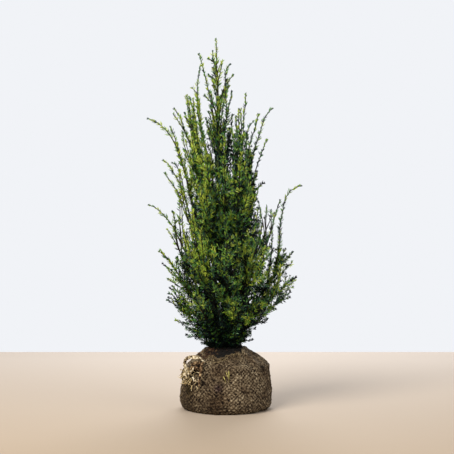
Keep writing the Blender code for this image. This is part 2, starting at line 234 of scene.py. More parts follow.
def smooth_step(value, low, high):
    share = np.clip((value - low) / (high - low), 0, 1)
    return share * share * (3 - 2 * share)


def hill(distance, width):
    """1 at no distance, falling smoothly to nothing at about two widths."""
    return np.exp(-((distance / width) ** 2))


def ripple(azimuth, waves):
    return sum(depth * np.sin(count * azimuth + phase) for count, depth, phase in waves)


def turn_from(azimuth, centre):
    """The angle from the centre's azimuth, from -pi to pi."""
    return (azimuth - centre + math.pi) % (2 * math.pi) - math.pi


def polar(radius, azimuth, height):
    return np.column_stack((radius * np.cos(azimuth), radius * np.sin(azimuth), height))


def points_of(piece):
    points = np.empty(3 * len(piece.data.vertices))
    piece.data.vertices.foreach_get("co", points)
    return points.reshape(-1, 3)


def rolled_sheet(name, columns, rows, place, width, length):
    """A grid of cloth or bark, shaped by place(u, v) and closed along its seam and at its poles.

    Its UV map is in metres, so that a weave or a grain has its real size on it.
    """
    deselect()
    bpy.ops.mesh.primitive_grid_add(x_subdivisions=columns, y_subdivisions=rows, size=1, location=(0, 0, 0))
    sheet = bpy.context.object
    sheet.name = name
    u, v, _ = points_of(sheet).T
    sheet.data.vertices.foreach_set("co", place(u + 0.5, v + 0.5).ravel())
    marks = np.empty(2 * len(sheet.data.loops))
    sheet.data.uv_layers[0].data.foreach_get("uv", marks)
    sheet.data.uv_layers[0].data.foreach_set("uv", (marks.reshape(-1, 2) * (width, length)).ravel())
    bpy.ops.object.mode_set(mode="EDIT")
    bpy.ops.mesh.select_all(action="SELECT")
    bpy.ops.mesh.remove_doubles(threshold=0.00002)
    bpy.ops.mesh.normals_make_consistent(inside=False)
    bpy.ops.object.mode_set(mode="OBJECT")
    bpy.ops.object.shade_smooth()
    return sheet


def roughen(piece, size, depth):
    """Pushes the surface in and out by a cloudy relief with features of this size."""
    relief = bpy.data.textures.new("relief", "CLOUDS")
    relief.noise_scale = size
    modifier = piece.modifiers.new("relief", "DISPLACE")
    modifier.texture = relief
    modifier.texture_coords = "LOCAL"
    modifier.strength = depth
    modifier.mid_level = 0.5
    deselect()
    bpy.context.view_layer.objects.active = piece
    piece.select_set(True)
    bpy.ops.object.modifier_apply(modifier="relief")


def rim_radius(azimuth):
    opening = hill(turn_from(azimuth, OPENING_AZIMUTH), OPENING_WIDTH)
    return RIM_RADIUS + RIM_OPENING * opening + ripple(azimuth, RUFFLES)


def cone_height(radius):
    return SHOULDER_HEIGHT - SHOULDER_FALL * (radius - SHOULDER_RADIUS)


def ball_profile(height):
    """Radius of the wrapped ball: a drawn-in foot, a nearly upright side and a soft shoulder."""
    side = BALL_RADIUS - BALL_SLOPE * height - BALL_FOOT_DRAW * np.exp(-height / BALL_FOOT_ROUNDING)
    top = SHOULDER_RADIUS + (SHOULDER_HEIGHT - height) / SHOULDER_FALL
    return -SHOULDER_SOFTNESS * np.logaddexp(-side / SHOULDER_SOFTNESS, -top / SHOULDER_SOFTNESS)


def ball_lump(azimuth, height):
    return 1 + BALL_LUMP * ripple(azimuth, LUMPS) * np.sin(math.pi * np.clip(height / BALL_HEIGHT, 0, 1))


def cloth_section(azimuth, stations):
    """Radius and height along one meridian: under the ball, up its side and over the rim into the soil."""
    rim = rim_radius(azimuth)
    top = cone_height(rim)
    height = np.linspace(0, top, 240)
    radius = np.concatenate(([0], ball_profile(height), [rim - RIM_EDGE, rim - RIM_ROLL, rim - RIM_ROLL, 0]))
    height = np.concatenate(([0], height, [top, top - RIM_ROLL, top - RIM_TUCK, top - RIM_TUCK - RIM_TUCK]))
    run = np.concatenate(([0], np.cumsum(np.hypot(np.diff(radius), np.diff(height)))))
    along = stations * run[-1]
    return np.interp(along, run, radius), np.interp(along, run, height)


def wrap_cloth(u, v):
    """Wraps the flat cloth round the ball, with its lumps, its pleats and its folds."""
    azimuth = 2 * math.pi * u
    radius, height = np.empty(len(u)), np.empty(len(u))
    for column in np.unique(np.round(u, 6)):
        chosen = np.abs(u - column) < 1e-5
        radius[chosen], height[chosen] = cloth_section(2 * math.pi * (column % 1), v[chosen])
    radius = radius * ball_lump(azimuth, height)
    upper = smooth_step(height, *PLEAT_HEIGHTS) * smooth_step(radius, *PLEAT_RADII)
    pleat = ripple(azimuth, PLEATS)
    across = turn_from(azimuth, BUNCH_AZIMUTH) * BALL_RADIUS
    rise = height - BUNCH_HEIGHT
    pull = hill(np.hypot(across, rise), PULL_REACH) * smooth_step(radius, *PULL_RADII)
    folds = PULL_DEPTH * np.cos(PULL_FOLDS * np.arctan2(rise, across) + 20 * np.hypot(across, rise))
    beside = turn_from(azimuth, FOLD_AZIMUTH) * BALL_RADIUS
    under_top = 1 - smooth_step(height, FOLD_HIGH, FOLD_HIGH + 0.01)
    span = smooth_step(height, FOLD_LOW - 0.02, FOLD_LOW) * under_top
    edge = FOLD_DEPTH * smooth_step(beside, -FOLD_EDGE, FOLD_EDGE)
    overlap = edge * np.exp(-np.clip(beside, 0, 1) / FOLD_FADE)
    low_front = hill(azimuth - WRINKLE_AZIMUTH, WRINKLE_TURN) * hill(height - WRINKLE_HEIGHT, WRINKLE_SPAN)
    wrinkle = WRINKLE_DEPTH * low_front * np.sin(height * 700 + 3 * np.sin(5 * azimuth))
    aside, above = turn_from(azimuth, DENT_AZIMUTH) / DENT_TURN, (height - DENT_HEIGHT) / DENT_SPAN
    dent = -DENT_DEPTH * np.exp(-(aside**2) - above**2)
    grow = upper * pleat + pull * folds + span * overlap + wrinkle + dent
    radius = np.where(radius > 0.01, radius + grow, radius)
    height = np.where(upper > 0, height + 0.6 * upper * pleat, height)
    return polar(radius, azimuth, height)


cloth = rolled_sheet("hessian_cloth", CLOTH_COLUMNS, CLOTH_ROWS, wrap_cloth, CLOTH_ROUND, CLOTH_LENGTH)
for size, depth in CLOTH_RELIEF:
    roughen(cloth, size, depth)
places = points_of(cloth)
places[:, 2] = np.where(places[:, 2] < FOOT_PRESSED, np.maximum(places[:, 2] - FOOT_LIFT, 0), places[:, 2])
cloth.data.vertices.foreach_set("co", places.ravel())


def weave_over(tree, spot):
    """The over and under of a plain weave at this place on its cloth, from -1 to 1."""
    axes = add_node(tree, "SeparateXYZ", {0: spot})
    waves = []
    for axis in ("X", "Y"):
        threads = {0: axes.outputs[axis], 1: math.pi / THREAD_PITCH}
        turn = add_node(tree, "Math", threads, operation="MULTIPLY")
        waves.append(add_node(tree, "Math", {0: turn.outputs[0]}, operation="SINE").outputs[0])
    return add_node(tree, "Math", {0: waves[0], 1: waves[1]}, operation="MULTIPLY").outputs[0]


def rough_to(tree, shader, height, strength, distance):
    """Gives the shader a fine relief from this height, at this strength and this depth in metres."""
    relief = add_node(tree, "Bump", {"Height": height, "Strength": strength, "Distance": distance})
    tree.links.new(relief.outputs[0], shader.inputs["Normal"])
    return relief


# Hessian: undyed jute yarn in a plain weave, dirty with soil. That gives a matt grey-brown with a coarse
# over and under of threads, pale dry yarn on top of dark damp gaps, and wide clouds of wet and dry. The
# weave has four times its real thread spacing, as the real one is too fine to show on the whole plant.
hessian, tree, shader = new_material("jute hessian, soiled", 0.94, 0.15)
spot = add_node(tree, "UVMap", uv_map=cloth.data.uv_layers[0].name)
local = add_node(tree, "TexCoord")
cloud = add_node(tree, "TexNoise", {"Vector": spot.outputs["UV"], "Scale": 85, "Detail": 3})
strayed = add_node(tree, "VectorMath", {0: cloud.outputs["Color"], "Scale": 0.014}, operation="SCALE")
stray = add_node(tree, "VectorMath", {0: spot.outputs["UV"], 1: strayed.outputs[0]}, operation="ADD")
weave = weave_over(tree, stray.outputs[0])
wide = {"Vector": local.outputs["Object"], "Scale": 17, "Detail": 4, "Roughness": 0.6}
clouds = add_node(tree, "TexNoise", wide)
open_range = {"From Min": 0.38, "From Max": 0.58, "To Min": 0.04, "To Max": 0.13}
open_weave = add_node(tree, "MapRange", {"Value": clouds.outputs["Fac"], **open_range})
fine = {"Vector": local.outputs["Object"], "Scale": 150, "Detail": 2, "Roughness": 0.7}
grit = add_node(tree, "TexNoise", fine)
woven = {0: weave, 1: open_weave.outputs[0], 2: grit.outputs["Fac"]}
speck = add_node(tree, "Math", woven, operation="MULTIPLY_ADD")
yarn_stops = ((0.26, "#0C0906"), (0.38, "#2A2119"), (0.47, "#574B3D"), (0.62, "#8A7D69"), (0.80, "#CDC2AC"))
yarn = add_node(tree, "ValToRGB", {0: speck.outputs[0]}, stops=yarn_stops)
damp = add_node(tree, "ValToRGB", {0: clouds.outputs["Fac"]}, stops=((0.36, "#B0A497"), (0.62, "#FFFBF0")))
stains_and_shade = damp.outputs[0]
# Each mark is multiplied in: some are real tints and darker patches, others painted shade in the bunch's
# hollows, in a slit and beside its hanging fold.
for place, reach, colour in STAINS_AND_PAINTED_SHADE:
    away = add_node(tree, "VectorMath", {0: local.outputs["Object"], 1: place}, operation="DISTANCE")
    fading = {"Value": away.outputs["Value"], "From Min": 0, "From Max": reach, "To Min": 1, "To Max": 0}
    fade = add_node(tree, "MapRange", fading, interpolation_type="SMOOTHSTEP")
    layers = {MIX_SHARE: fade.outputs[0], MIX_BELOW: stains_and_shade, MIX_ABOVE: linear(colour)}
    stains_and_shade = add_node(tree, "Mix", layers, data_type="RGBA", blend_type="MULTIPLY").outputs[MIX_RESULT]
layers = {MIX_SHARE: 1, MIX_BELOW: yarn.outputs[0], MIX_ABOVE: stains_and_shade}
soiled = add_node(tree, "Mix", layers, data_type="RGBA", blend_type="MULTIPLY")
tree.links.new(soiled.outputs[MIX_RESULT], shader.inputs["Base Color"])
rough_to(tree, shader, speck.outputs[0], 1.0, 0.006)
cloth.data.materials.append(hessian)
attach(cloth, "root")
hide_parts("root_ball")


# ---- Root ball: the soil on top ----
# Inside the rim the soil shows, a low mound of moist dark clay loam, darker still with painted shade from
# the crown, that climbs to the foot of the stem.
# Crumbs of it, brown fallen needles and bits of bark lie loose on the mound and along the rim of the cloth.
MOUND_TOP = BALL_TOP + 0.002
MOUND_INNER = 0.012
MOUND_SINK = 0.004
MOUND_RELIEF = ((0.012, 0.007), (0.005, 0.004))
CRUMBS, CRUMB_SIZES = 520, (0.0012, 0.0045)
LITTER, LITTER_SIZES = 340, (0.006, 0.016)
# Most of the litter lies to the front left: how much of it, round which azimuth and how widely.
HEAPED_LITTER, HEAP_AZIMUTH, HEAP_SPREAD = LITTER * 4 // 5, math.radians(217), 0.25
LITTER_FLATNESS = 0.35


def mound_height(radius, azimuth):
    rim = rim_radius(azimuth)
    rim_height = cone_height(rim) - MOUND_SINK
    share = np.clip((rim - radius) / (rim - MOUND_INNER), 0, 1)
    return rim_height + (MOUND_TOP - rim_height) * np.sqrt(share)


def heap_soil(u, v):
    azimuth = 2 * math.pi * u
    radius = rim_radius(azimuth) * 1.03 * (1 - v)
    return polar(radius, azimuth, mound_height(radius, azimuth))


mound = rolled_sheet("soil_mound", 160, 40, heap_soil, 0.4, 0.1)
for size, depth in MOUND_RELIEF:
    roughen(mound, size, depth)

# Moist clay loam: crumbled by hand. It is nearly black brown, partly its own damp colour and partly painted
# shade from the crown above, matt, with a few lighter dry grains.
loam, tree, shader = new_material("clay loam, moist, with painted shade", 0.9, 0.25)
local = add_node(tree, "TexCoord")
crumbly = {"Vector": local.outputs["Object"], "Scale": 260, "Detail": 5, "Roughness": 0.7}
grain = add_node(tree, "TexNoise", crumbly)
loam_and_shade_stops = ((0.38, "#060504"), (0.58, "#100C09"), (0.76, "#3A3028"))
loam_and_shade_ramp = add_node(tree, "ValToRGB", {0: grain.outputs["Fac"]}, stops=loam_and_shade_stops)
tree.links.new(loam_and_shade_ramp.outputs[0], shader.inputs["Base Color"])
rough_to(tree, shader, grain.outputs["Fac"], 0.9, 0.002)
mound.data.materials.append(loam)
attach(mound, "root")


def unit(vectors):
    return vectors / np.linalg.norm(vectors, axis=-1, keepdims=True)


def template(thing):
    """Points and triangles of a small piece that is modelled once, which is then taken out of the scene."""
    points = points_of(thing)
    thing.data.calc_loop_triangles()
    triangles = np.empty(3 * len(thing.data.loop_triangles), np.int32)
    thing.data.loop_triangles.foreach_get("vertices", triangles)
    bpy.data.objects.remove(thing)
    return points, triangles.reshape(-1, 3)


def joined_piece(name, points, triangles, material, slot):
    """One object from arrays of points and triangles, riding on the plant's one body."""
    mesh = bpy.data.meshes.new(name)
    mesh.from_pydata(points.tolist(), [], triangles.tolist())
    piece = bpy.data.objects.new(name, mesh)
    bpy.context.scene.collection.objects.link(piece)
    mesh.materials.append(material)
    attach(piece, "root")
    return piece


def spread_copies(pattern, places, axes):
    """Copies of a template: places is (n, 3), and axes (n, 3, 3) holds what its x, y and z become."""
    points, triangles = pattern
    copies = np.einsum("pk,nkc->npc", points, axes) + places[:, None]
    offsets = len(points) * np.arange(len(places))
    return copies.reshape(-1, 3), (triangles[None] + offsets[:, None, None]).reshape(-1, 3)


def loose_axes(chance, count, sizes, shape):
    """Random turns of unit axes, scaled between two sizes and by the template's own shape."""
    first = unit(chance.normal(size=(count, 3)))
    second = unit(np.cross(first, chance.normal(size=(count, 3))))
    scales = chance.uniform(*sizes, (count, 1, 1))
    turned = np.stack((first, second, np.cross(first, second)), axis=1)
    return turned * scales * np.array(shape)[None, :, None]


deselect()
bpy.ops.mesh.primitive_ico_sphere_add(subdivisions=2, radius=1)
crumb = bpy.context.object
roughen(crumb, 0.9, 0.7)
crumb_pattern = template(crumb)
chance = np.random.default_rng(11)
azimuths = chance.uniform(0, 2 * math.pi, CRUMBS)
radii = rim_radius(azimuths) * chance.uniform(0.25, 1.02, CRUMBS) ** 0.7
crumb_places = polar(radii, azimuths, mound_height(radii, azimuths) + 0.001)
crumb_axes = loose_axes(chance, CRUMBS, CRUMB_SIZES, (1, 0.85, 0.7))
joined_piece("soil_crumbs", *spread_copies(crumb_pattern, crumb_places, crumb_axes), loam, "hessian")

deselect()
bpy.ops.mesh.primitive_cylinder_add(vertices=4, radius=0.5, depth=1)
chip = bpy.context.object
bpy.ops.object.mode_set(mode="EDIT")
bpy.ops.mesh.select_all(action="SELECT")
bpy.ops.mesh.subdivide(number_cuts=1)
bpy.ops.transform.resize(value=(0.12, 0.05, 1))
bpy.ops.object.mode_set(mode="OBJECT")
roughen(chip, 0.5, 0.10)
chip_pattern = template(chip)
heaped = chance.normal(HEAP_AZIMUTH, HEAP_SPREAD, HEAPED_LITTER)
azimuths = np.concatenate((heaped, chance.uniform(0, 2 * math.pi, LITTER - HEAPED_LITTER)))
radii = rim_radius(azimuths) * chance.uniform(0.45, 1.30, LITTER)
on_mound, on_cloth = mound_height(radii, azimuths) + 0.003, cone_height(radii) + 0.002
litter_places = polar(radii, azimuths, np.where(radii > rim_radius(azimuths), on_cloth, on_mound))
litter_axes = loose_axes(chance, LITTER, LITTER_SIZES, (1, 1, 1))
litter_axes[:, 2, 2] *= LITTER_FLATNESS


def mottled_material(name, roughness, specular, scale, detail, stops):
    """A material whose colour runs through these stops by a noise of this many features a metre."""
    material, tree, shader = new_material(name, roughness, specular)
    local = add_node(tree, "TexCoord")
    noise = add_node(tree, "TexNoise", {"Vector": local.outputs["Object"], "Scale": scale, "Detail": detail})
    colours = add_node(tree, "ValToRGB", {0: noise.outputs["Fac"]}, stops=stops)
    tree.links.new(colours.outputs[0], shader.inputs["Base Color"])
    return material


# Fallen needles and bark: dead, dry plant tissue, matt, red brown turning to straw.
rust = ((0.40, "#2E1A12"), (0.55, "#553726"), (0.68, "#8F7650"))
dead_leaf = mottled_material("dead yew needles and bark, dry", 0.8, 0.3, 160, 1, rust)
joined_piece("fallen_litter", *spread_copies(chip_pattern, litter_places, litter_axes), dead_leaf, "bark")


# ---- Root ball: the gathered corners ----
# The cloth's corners are twisted together on the ball's left shoulder and tied in themselves: a roll that
# loops out over a hollow, darkened by painted shade on the cloth below, a knot, two hanging folds and frayed
# ends of straw-coloured yarn.
BUNCH_ROUTES = {
    "hessian_loop": (
        ((-0.066, -0.104, 0.160), (-0.083, -0.105, 0.171), (-0.100, -0.098, 0.1755), (-0.117, -0.085, 0.174),
         (-0.1275, -0.072, 0.165), (-0.130, -0.066, 0.152), (-0.1285, -0.074, 0.137)),
        (0.0030, 0.0050, 0.0055, 0.0048, 0.0042, 0.0045, 0.0050), 3, 5.0,
    ),
    "hessian_knot": (
        ((-0.080, -0.114, 0.140), (-0.090, -0.112, 0.146), (-0.101, -0.104, 0.144), (-0.111, -0.093, 0.138)),
        (0.004, 0.0075, 0.0070, 0.004), 4, 7.0,
    ),
    "hessian_strand": (
        ((-0.124, -0.082, 0.116), (-0.115, -0.094, 0.125), (-0.105, -0.106, 0.136), (-0.096, -0.114, 0.149)),
        (0.0022, 0.0034, 0.0034, 0.0024), 3, 9.0,
    ),
    "hessian_hanging_fold": (
        ((-0.070, -0.112, 0.163), (-0.0765, -0.122, 0.152), (-0.0800, -0.128, 0.128),
         (-0.0825, -0.129, 0.104), (-0.0840, -0.127, 0.086)),
        (0.0024, 0.0032, 0.0032, 0.0026, 0.0014), 2, 1.5,
    ),
    "hessian_left_fold": (
        ((-0.125, -0.078, 0.142), (-0.126, -0.078, 0.130), (-0.127, -0.082, 0.114), (-0.128, -0.080, 0.098)),
        (0.0035, 0.0060, 0.0065, 0.0030), 3, 3.0,
    ),
    "hessian_inner_roll": (
        ((-0.072, -0.110, 0.156), (-0.086, -0.110, 0.158), (-0.098, -0.102, 0.157), (-0.108, -0.090, 0.152)),
        (0.0030, 0.0050, 0.0048, 0.0030), 3, 6.0,
    ),
    "hessian_lower_fold": (
        ((-0.104, -0.108, 0.114), (-0.098, -0.114, 0.106), (-0.092, -0.119, 0.104), (-0.086, -0.124, 0.110)),
        (0.0020, 0.0036, 0.0036, 0.0024), 2, 4.0,
    ),
}
DAMP_ROLLS = ("hessian_knot", "hessian_inner_roll", "hessian_hanging_fold")
ROLL_COLUMNS, ROLL_ROWS = 40, 90
ROLL_RELIEF = (0.008, 0.0030)
# The creases of the twisted cloth and the knuckles across them, as shares of a roll's radius.
CREASE_DEPTH, FINE_CREASE_DEPTH, KNUCKLE_DEPTH, KNUCKLE_TURN = 0.22, 0.10, 0.06, 26
THREAD_RADIUS, THREAD_SIDES = 0.0009, 4
# The frayed ends: how many, their heights, their azimuth and its spread in degrees, and their lengths.
FRAYED_THREADS, FRAYED_POINTS = 70, 7
THREAD_SAG, BEND_LENGTH = 0.004, 0.02
FRAYED_HEIGHTS, FRAYED_AZIMUTH, FRAYED_SPREAD, FRAYED_LENGTHS = (0.086, 0.136), 214, 9, (0.007, 0.015)
PULLED_THREADS, PULLED_POINTS = 12, 12
PULLED_FROM, PULLED_TO, PULLED_LEAST = math.radians(232), math.radians(276), 0.12
GRASS_STRAWS = (
    ((-0.0075, -0.1425, 0.1215), (-0.004, -0.149, 0.112), (0.000, -0.1475, 0.102)),
    ((-0.0010, -0.1405, 0.1370), (0.004, -0.149, 0.126), (0.0075, -0.1455, 0.118)),
    ((0.0085, -0.1400, 0.1400), (0.009, -0.150, 0.122), (0.0085, -0.1455, 0.104)),
)
STRAW_RADIUS, STRAW_POINTS, STRAW_SIDES = 0.0008, 12, 6


def smooth_route(points, count):
    """Evenly shared points on a smooth curve through the route's own points."""
    points = np.asarray(points, float)
    padded = np.concatenate((2 * points[:1] - points[1:2], points, 2 * points[-1:] - points[-2:-1]))
    where = np.linspace(0, len(points) - 1, count)
    index = np.minimum(where.astype(int), len(points) - 2)
    t = (where - index)[:, None]
    before, start, end, after = (padded[index + offset] for offset in range(4))
    return 0.5 * (
        2 * start
        + (end - before) * t
        + (2 * before - 5 * start + 4 * end - after) * t**2
        + (3 * start - before - 3 * end + after) * t**3
    )


def upward(rise):
    return np.array((0, 0, rise))


def frames_along(centres):
    """Tangent, side and up at each point of a route, carried along it without twisting."""
    tangents = unit(np.gradient(centres, axis=0))
    side = unit(np.cross(tangents[0], (0.31, 0.77, 0.20)))
    sides = []
    for tangent in tangents:
        side = unit(side - tangent * (side @ tangent))
        sides.append(side)
    return tangents, np.array(sides), np.cross(tangents, np.array(sides))


def path_length(points):
    return float(np.linalg.norm(np.diff(points, axis=0), axis=1).sum())


def limb_sheet(name, centres, radii, columns, lobe):
    """A closed tube of cloth or bark along these centres; lobe(angle, share) shapes its section."""
    rows = len(centres) + 1
    tangents, sides, ups = frames_along(centres)

    def place(u, v):
        row = np.clip(np.round(v * rows).astype(int) - 1, 0, len(centres) - 1)
        angle = 2 * math.pi * u
        section = lobe(angle, row / (len(centres) - 1))
        reach = np.where((v < 0.5 / rows) | (v > 1 - 0.5 / rows), 0, radii[row] * section)[:, None]
        spoke = np.cos(angle)[:, None] * sides[row] + np.sin(angle)[:, None] * ups[row]
        return centres[row] + reach * spoke

    width = 2 * math.pi * float(np.mean(radii))
    return rolled_sheet(name, columns, rows, place, width, path_length(centres))


def join_pieces(name, pieces):
    """Joins these pieces into one object of this name."""
    deselect()
    for piece in pieces:
        piece.select_set(True)
    bpy.context.view_layer.objects.active = pieces[0]
    bpy.ops.object.join()
    pieces[0].name = name
    return pieces[0]


rolls = {False: [], True: []}
for name, (route, widths, lobes, twist) in BUNCH_ROUTES.items():
    centres = smooth_route(route, ROLL_ROWS)
    widths = np.interp(np.linspace(0, 1, ROLL_ROWS), np.linspace(0, 1, len(widths)), widths)

    def roll_lobe(angle, share):
        turned = angle + twist * share
        creases = CREASE_DEPTH * np.sin(lobes * turned)
        creases = creases + FINE_CREASE_DEPTH * np.sin((2 * lobes + 1) * turned)
        return 1 + creases + KNUCKLE_DEPTH * np.sin(KNUCKLE_TURN * share + 2 * angle)

    roll = limb_sheet(name, centres, widths, ROLL_COLUMNS, roll_lobe)
    roughen(roll, *ROLL_RELIEF)
    rolls[name in DAMP_ROLLS].append(roll)
gathered = join_pieces("hessian_gather", rolls[False])
knotted = join_pieces("hessian_gather_damp", rolls[True])

# Straw-coloured hessian: the cloth's clean dry corners, the same jute with little soil in it, pale and
# matt. The knot, the inner roll and the hanging fold have stayed damp and brown.
clean = ((0.36, "#1F1610"), (0.45, "#76654C"), (0.54, "#BDAC8B"), (0.66, "#F2E9D3"))
damp = ((0.36, "#0D0906"), (0.46, "#3B2A1D"), (0.56, "#7A6146"), (0.68, "#B79F78"))
for piece, condition, stops in ((gathered, "clean corners", clean), (knotted, "damp corners", damp)):
    corner_cloth, tree, shader = new_material("jute hessian, " + condition, 0.92, 0.15)
    spot = add_node(tree, "UVMap", uv_map=piece.data.uv_layers[0].name)
    local = add_node(tree, "TexCoord")
    weave = weave_over(tree, spot.outputs["UV"])
    patches = {"Vector": local.outputs["Object"], "Scale": 110, "Detail": 4, "Roughness": 0.7}
    grime = add_node(tree, "TexNoise", patches)
    speck = add_node(tree, "Math", {0: weave, 1: 0.10, 2: grime.outputs["Fac"]}, operation="MULTIPLY_ADD")
    straw = add_node(tree, "ValToRGB", {0: speck.outputs[0]}, stops=stops)
    tree.links.new(straw.outputs[0], shader.inputs["Base Color"])
    rough_to(tree, shader, speck.outputs[0], 0.8, 0.002)
    piece.data.materials.append(corner_cloth)
    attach(piece, "root")
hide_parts("hessian_bunch")


def tube_arrays(centres, radii, sides):
    """Points and triangles of a thin closed tube along these centres, which comes to a point at its tip."""
    _, across, ups = frames_along(centres)
    angles = 2 * math.pi * np.arange(sides) / sides
    spokes = np.cos(angles)[None, :, None] * across[:, None] + np.sin(angles)[None, :, None] * ups[:, None]
    rings = (centres[:, None] + radii[:, None, None] * spokes).reshape(-1, 3)
    low = sides * np.arange(len(centres) - 1)[:, None] + np.arange(sides)
    after = sides * np.arange(len(centres) - 1)[:, None] + (np.arange(sides) + 1) % sides
    lower = np.stack((low, after, after + sides), axis=-1)
    upper = np.stack((low, after + sides, low + sides), axis=-1)
    walls = np.concatenate((lower, upper)).reshape(-1, 3)
    foot = [(0, side + 1, side) for side in range(1, sides - 1)]
    top = sides * (len(centres) - 1)
    tip = [(top, top + side, top + side + 1) for side in range(1, sides - 1)]
    return rings, np.concatenate((walls, foot, tip))


def join_arrays(shapes):
    """One pair of arrays from many shapes' points and triangles."""
    offsets = np.cumsum([0] + [len(points) for points, _ in shapes[:-1]])
    points = np.concatenate([points for points, _ in shapes])
    return points, np.concatenate([triangles + offset for (_, triangles), offset in zip(shapes, offsets)])


chance = np.random.default_rng(5)
threads = []
for _ in range(FRAYED_THREADS):
    height = chance.uniform(*FRAYED_HEIGHTS)
    azimuth = math.radians(chance.normal(FRAYED_AZIMUTH, FRAYED_SPREAD))
    surface = ball_profile(np.array(height)) * ball_lump(azimuth, height) + 0.004
    start = np.array((surface * math.cos(azimuth), surface * math.sin(azimuth), height))
    outward = np.array((math.cos(azimuth), math.sin(azimuth), 0.1))
    lean = np.array((chance.normal(-0.2, 0.5), chance.normal(-0.2, 0.4), chance.normal(-0.3, 0.7)))
    steps = np.linspace(0, 1, FRAYED_POINTS)[:, None] * chance.uniform(*FRAYED_LENGTHS)
    bend = chance.normal(0, 0.35, 3)
    sag = upward(-THREAD_SAG) * (steps / BEND_LENGTH) ** 2
    route = start + steps * unit(outward * 0.2 + lean) + steps**2 * bend / BEND_LENGTH + sag
    radii = np.full(FRAYED_POINTS, THREAD_RADIUS) * chance.uniform(0.7, 1.5)
    threads.append(tube_arrays(route, radii, THREAD_SIDES))

# Jute yarn ends: loose dry fibre, pale straw and matt.
straw = ((0.35, "#8F7850"), (0.55, "#CDB98C"), (0.70, "#EADCBB"))
yarn_end = mottled_material("jute yarn, frayed", 0.85, 0.2, 90, 2, straw)
joined_piece("frayed_yarn", *join_arrays(threads), yarn_end, "hessian_straw")

# Pulled threads lie along the front of the rim, where the cloth was drawn together.
pulled = []
for _ in range(PULLED_THREADS):
    first, last = sorted(chance.uniform(PULLED_FROM, PULLED_TO, 2))
    last = max(last, first + PULLED_LEAST)
    azimuth = np.linspace(first, last, PULLED_POINTS)
    drop = chance.uniform(0.001, 0.012) + (last - azimuth) * chance.uniform(0.015, 0.040)
    around = rim_radius(azimuth) + 1.1 * drop + 0.0035
    height = cone_height(around) + 0.0045 + 0.001 * np.sin(40 * azimuth)
    radii = np.full(PULLED_POINTS, THREAD_RADIUS) * chance.uniform(0.6, 1.0)
    pulled.append(tube_arrays(polar(around, azimuth, height), radii, THREAD_SIDES))

# Soiled yarn: the same jute with soil in it, khaki to dark brown and matt.
khaki = ((0.38, "#2E261B"), (0.52, "#6B5C42"), (0.66, "#A08F68"))
soiled_yarn = mottled_material("jute yarn, soiled", 0.9, 0.15, 100, 2, khaki)
joined_piece("pulled_threads", *join_arrays(pulled), soiled_yarn, "hessian_straw")

# Grass straws caught in the weave: dry stems, yellow and a little shiny.
straws = []
for bends in GRASS_STRAWS:
    radii = np.full(STRAW_POINTS, STRAW_RADIUS)
    straws.append(tube_arrays(smooth_route(bends, STRAW_POINTS), radii, STRAW_SIDES))
yellow = ((0.40, "#6E6430"), (0.60, "#D8CE72"))
dry_grass = mottled_material("grass straw, dry", 0.5, 0.4, 120, 1, yellow)
joined_piece("grass_straws", *join_arrays(straws), dry_grass, "hessian_straw")


# ---- Trunk ----
# The young yew's one trunk, straight but for a slight sway, with thin scaly red-brown bark. It flares at
# its foot, where it enters the soil, and tapers all the way up through the crown to the leader.
TRUNK_FOOT, TRUNK_TOP = (corner[2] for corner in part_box("trunk"))
TRUNK_RADIUS = 0.0105
TRUNK_TIP_RADIUS = 0.0021
TRUNK_FLARE = 0.008
TRUNK_FLARE_HEIGHT = 0.018
TRUNK_LEAN = -0.026
TRUNK_SWAY = 0.006
# The trunk's section: buttresses in the flare and shallow flutes all the way up, each with its share of the
# radius.
BUTTRESSES, BUTTRESS_DEPTH, BUTTRESS_FADE = 5, 0.16, 0.04
FLUTES, FLUTE_DEPTH, FLUTE_TWIST = 3, 0.05, 9
TRUNK_RELIEF = ((0.006, 0.0016), (0.0022, 0.0008))
BARK_FLAKE = 0.004


def trunk_axis(height):
    """Centre of the trunk at this height or these heights."""
    height = np.asarray(height, float)
    share = (height - TRUNK_FOOT) / (TRUNK_TOP - TRUNK_FOOT)
    x = TRUNK_LEAN * share + TRUNK_SWAY * np.sin(2 * math.pi * share)
    y = 0.7 * TRUNK_SWAY * np.sin(3 * math.pi * share)
    return np.stack((x, y, height), axis=-1)


def trunk_radius(height):
    share = (height - TRUNK_FOOT) / (TRUNK_TOP - TRUNK_FOOT)
    taper = TRUNK_TIP_RADIUS + (TRUNK_RADIUS - TRUNK_TIP_RADIUS) * np.clip(1 - share, 0, 1) ** 0.8
    return taper + TRUNK_FLARE * np.exp(-(height - TRUNK_FOOT) / TRUNK_FLARE_HEIGHT)


def trunk_lobe(angle, share):
    buttress = BUTTRESS_DEPTH * np.exp(-share / BUTTRESS_FADE) * np.sin(BUTTRESSES * angle + 0.6)
    return 1 + buttress + FLUTE_DEPTH * np.sin(FLUTES * angle + FLUTE_TWIST * share)


heights = np.linspace(TRUNK_FOOT, TRUNK_TOP, 420)
trunk = limb_sheet("trunk_bark", trunk_axis(heights), trunk_radius(heights), 36, trunk_lobe)
for size, depth in TRUNK_RELIEF:
    roughen(trunk, size, depth)

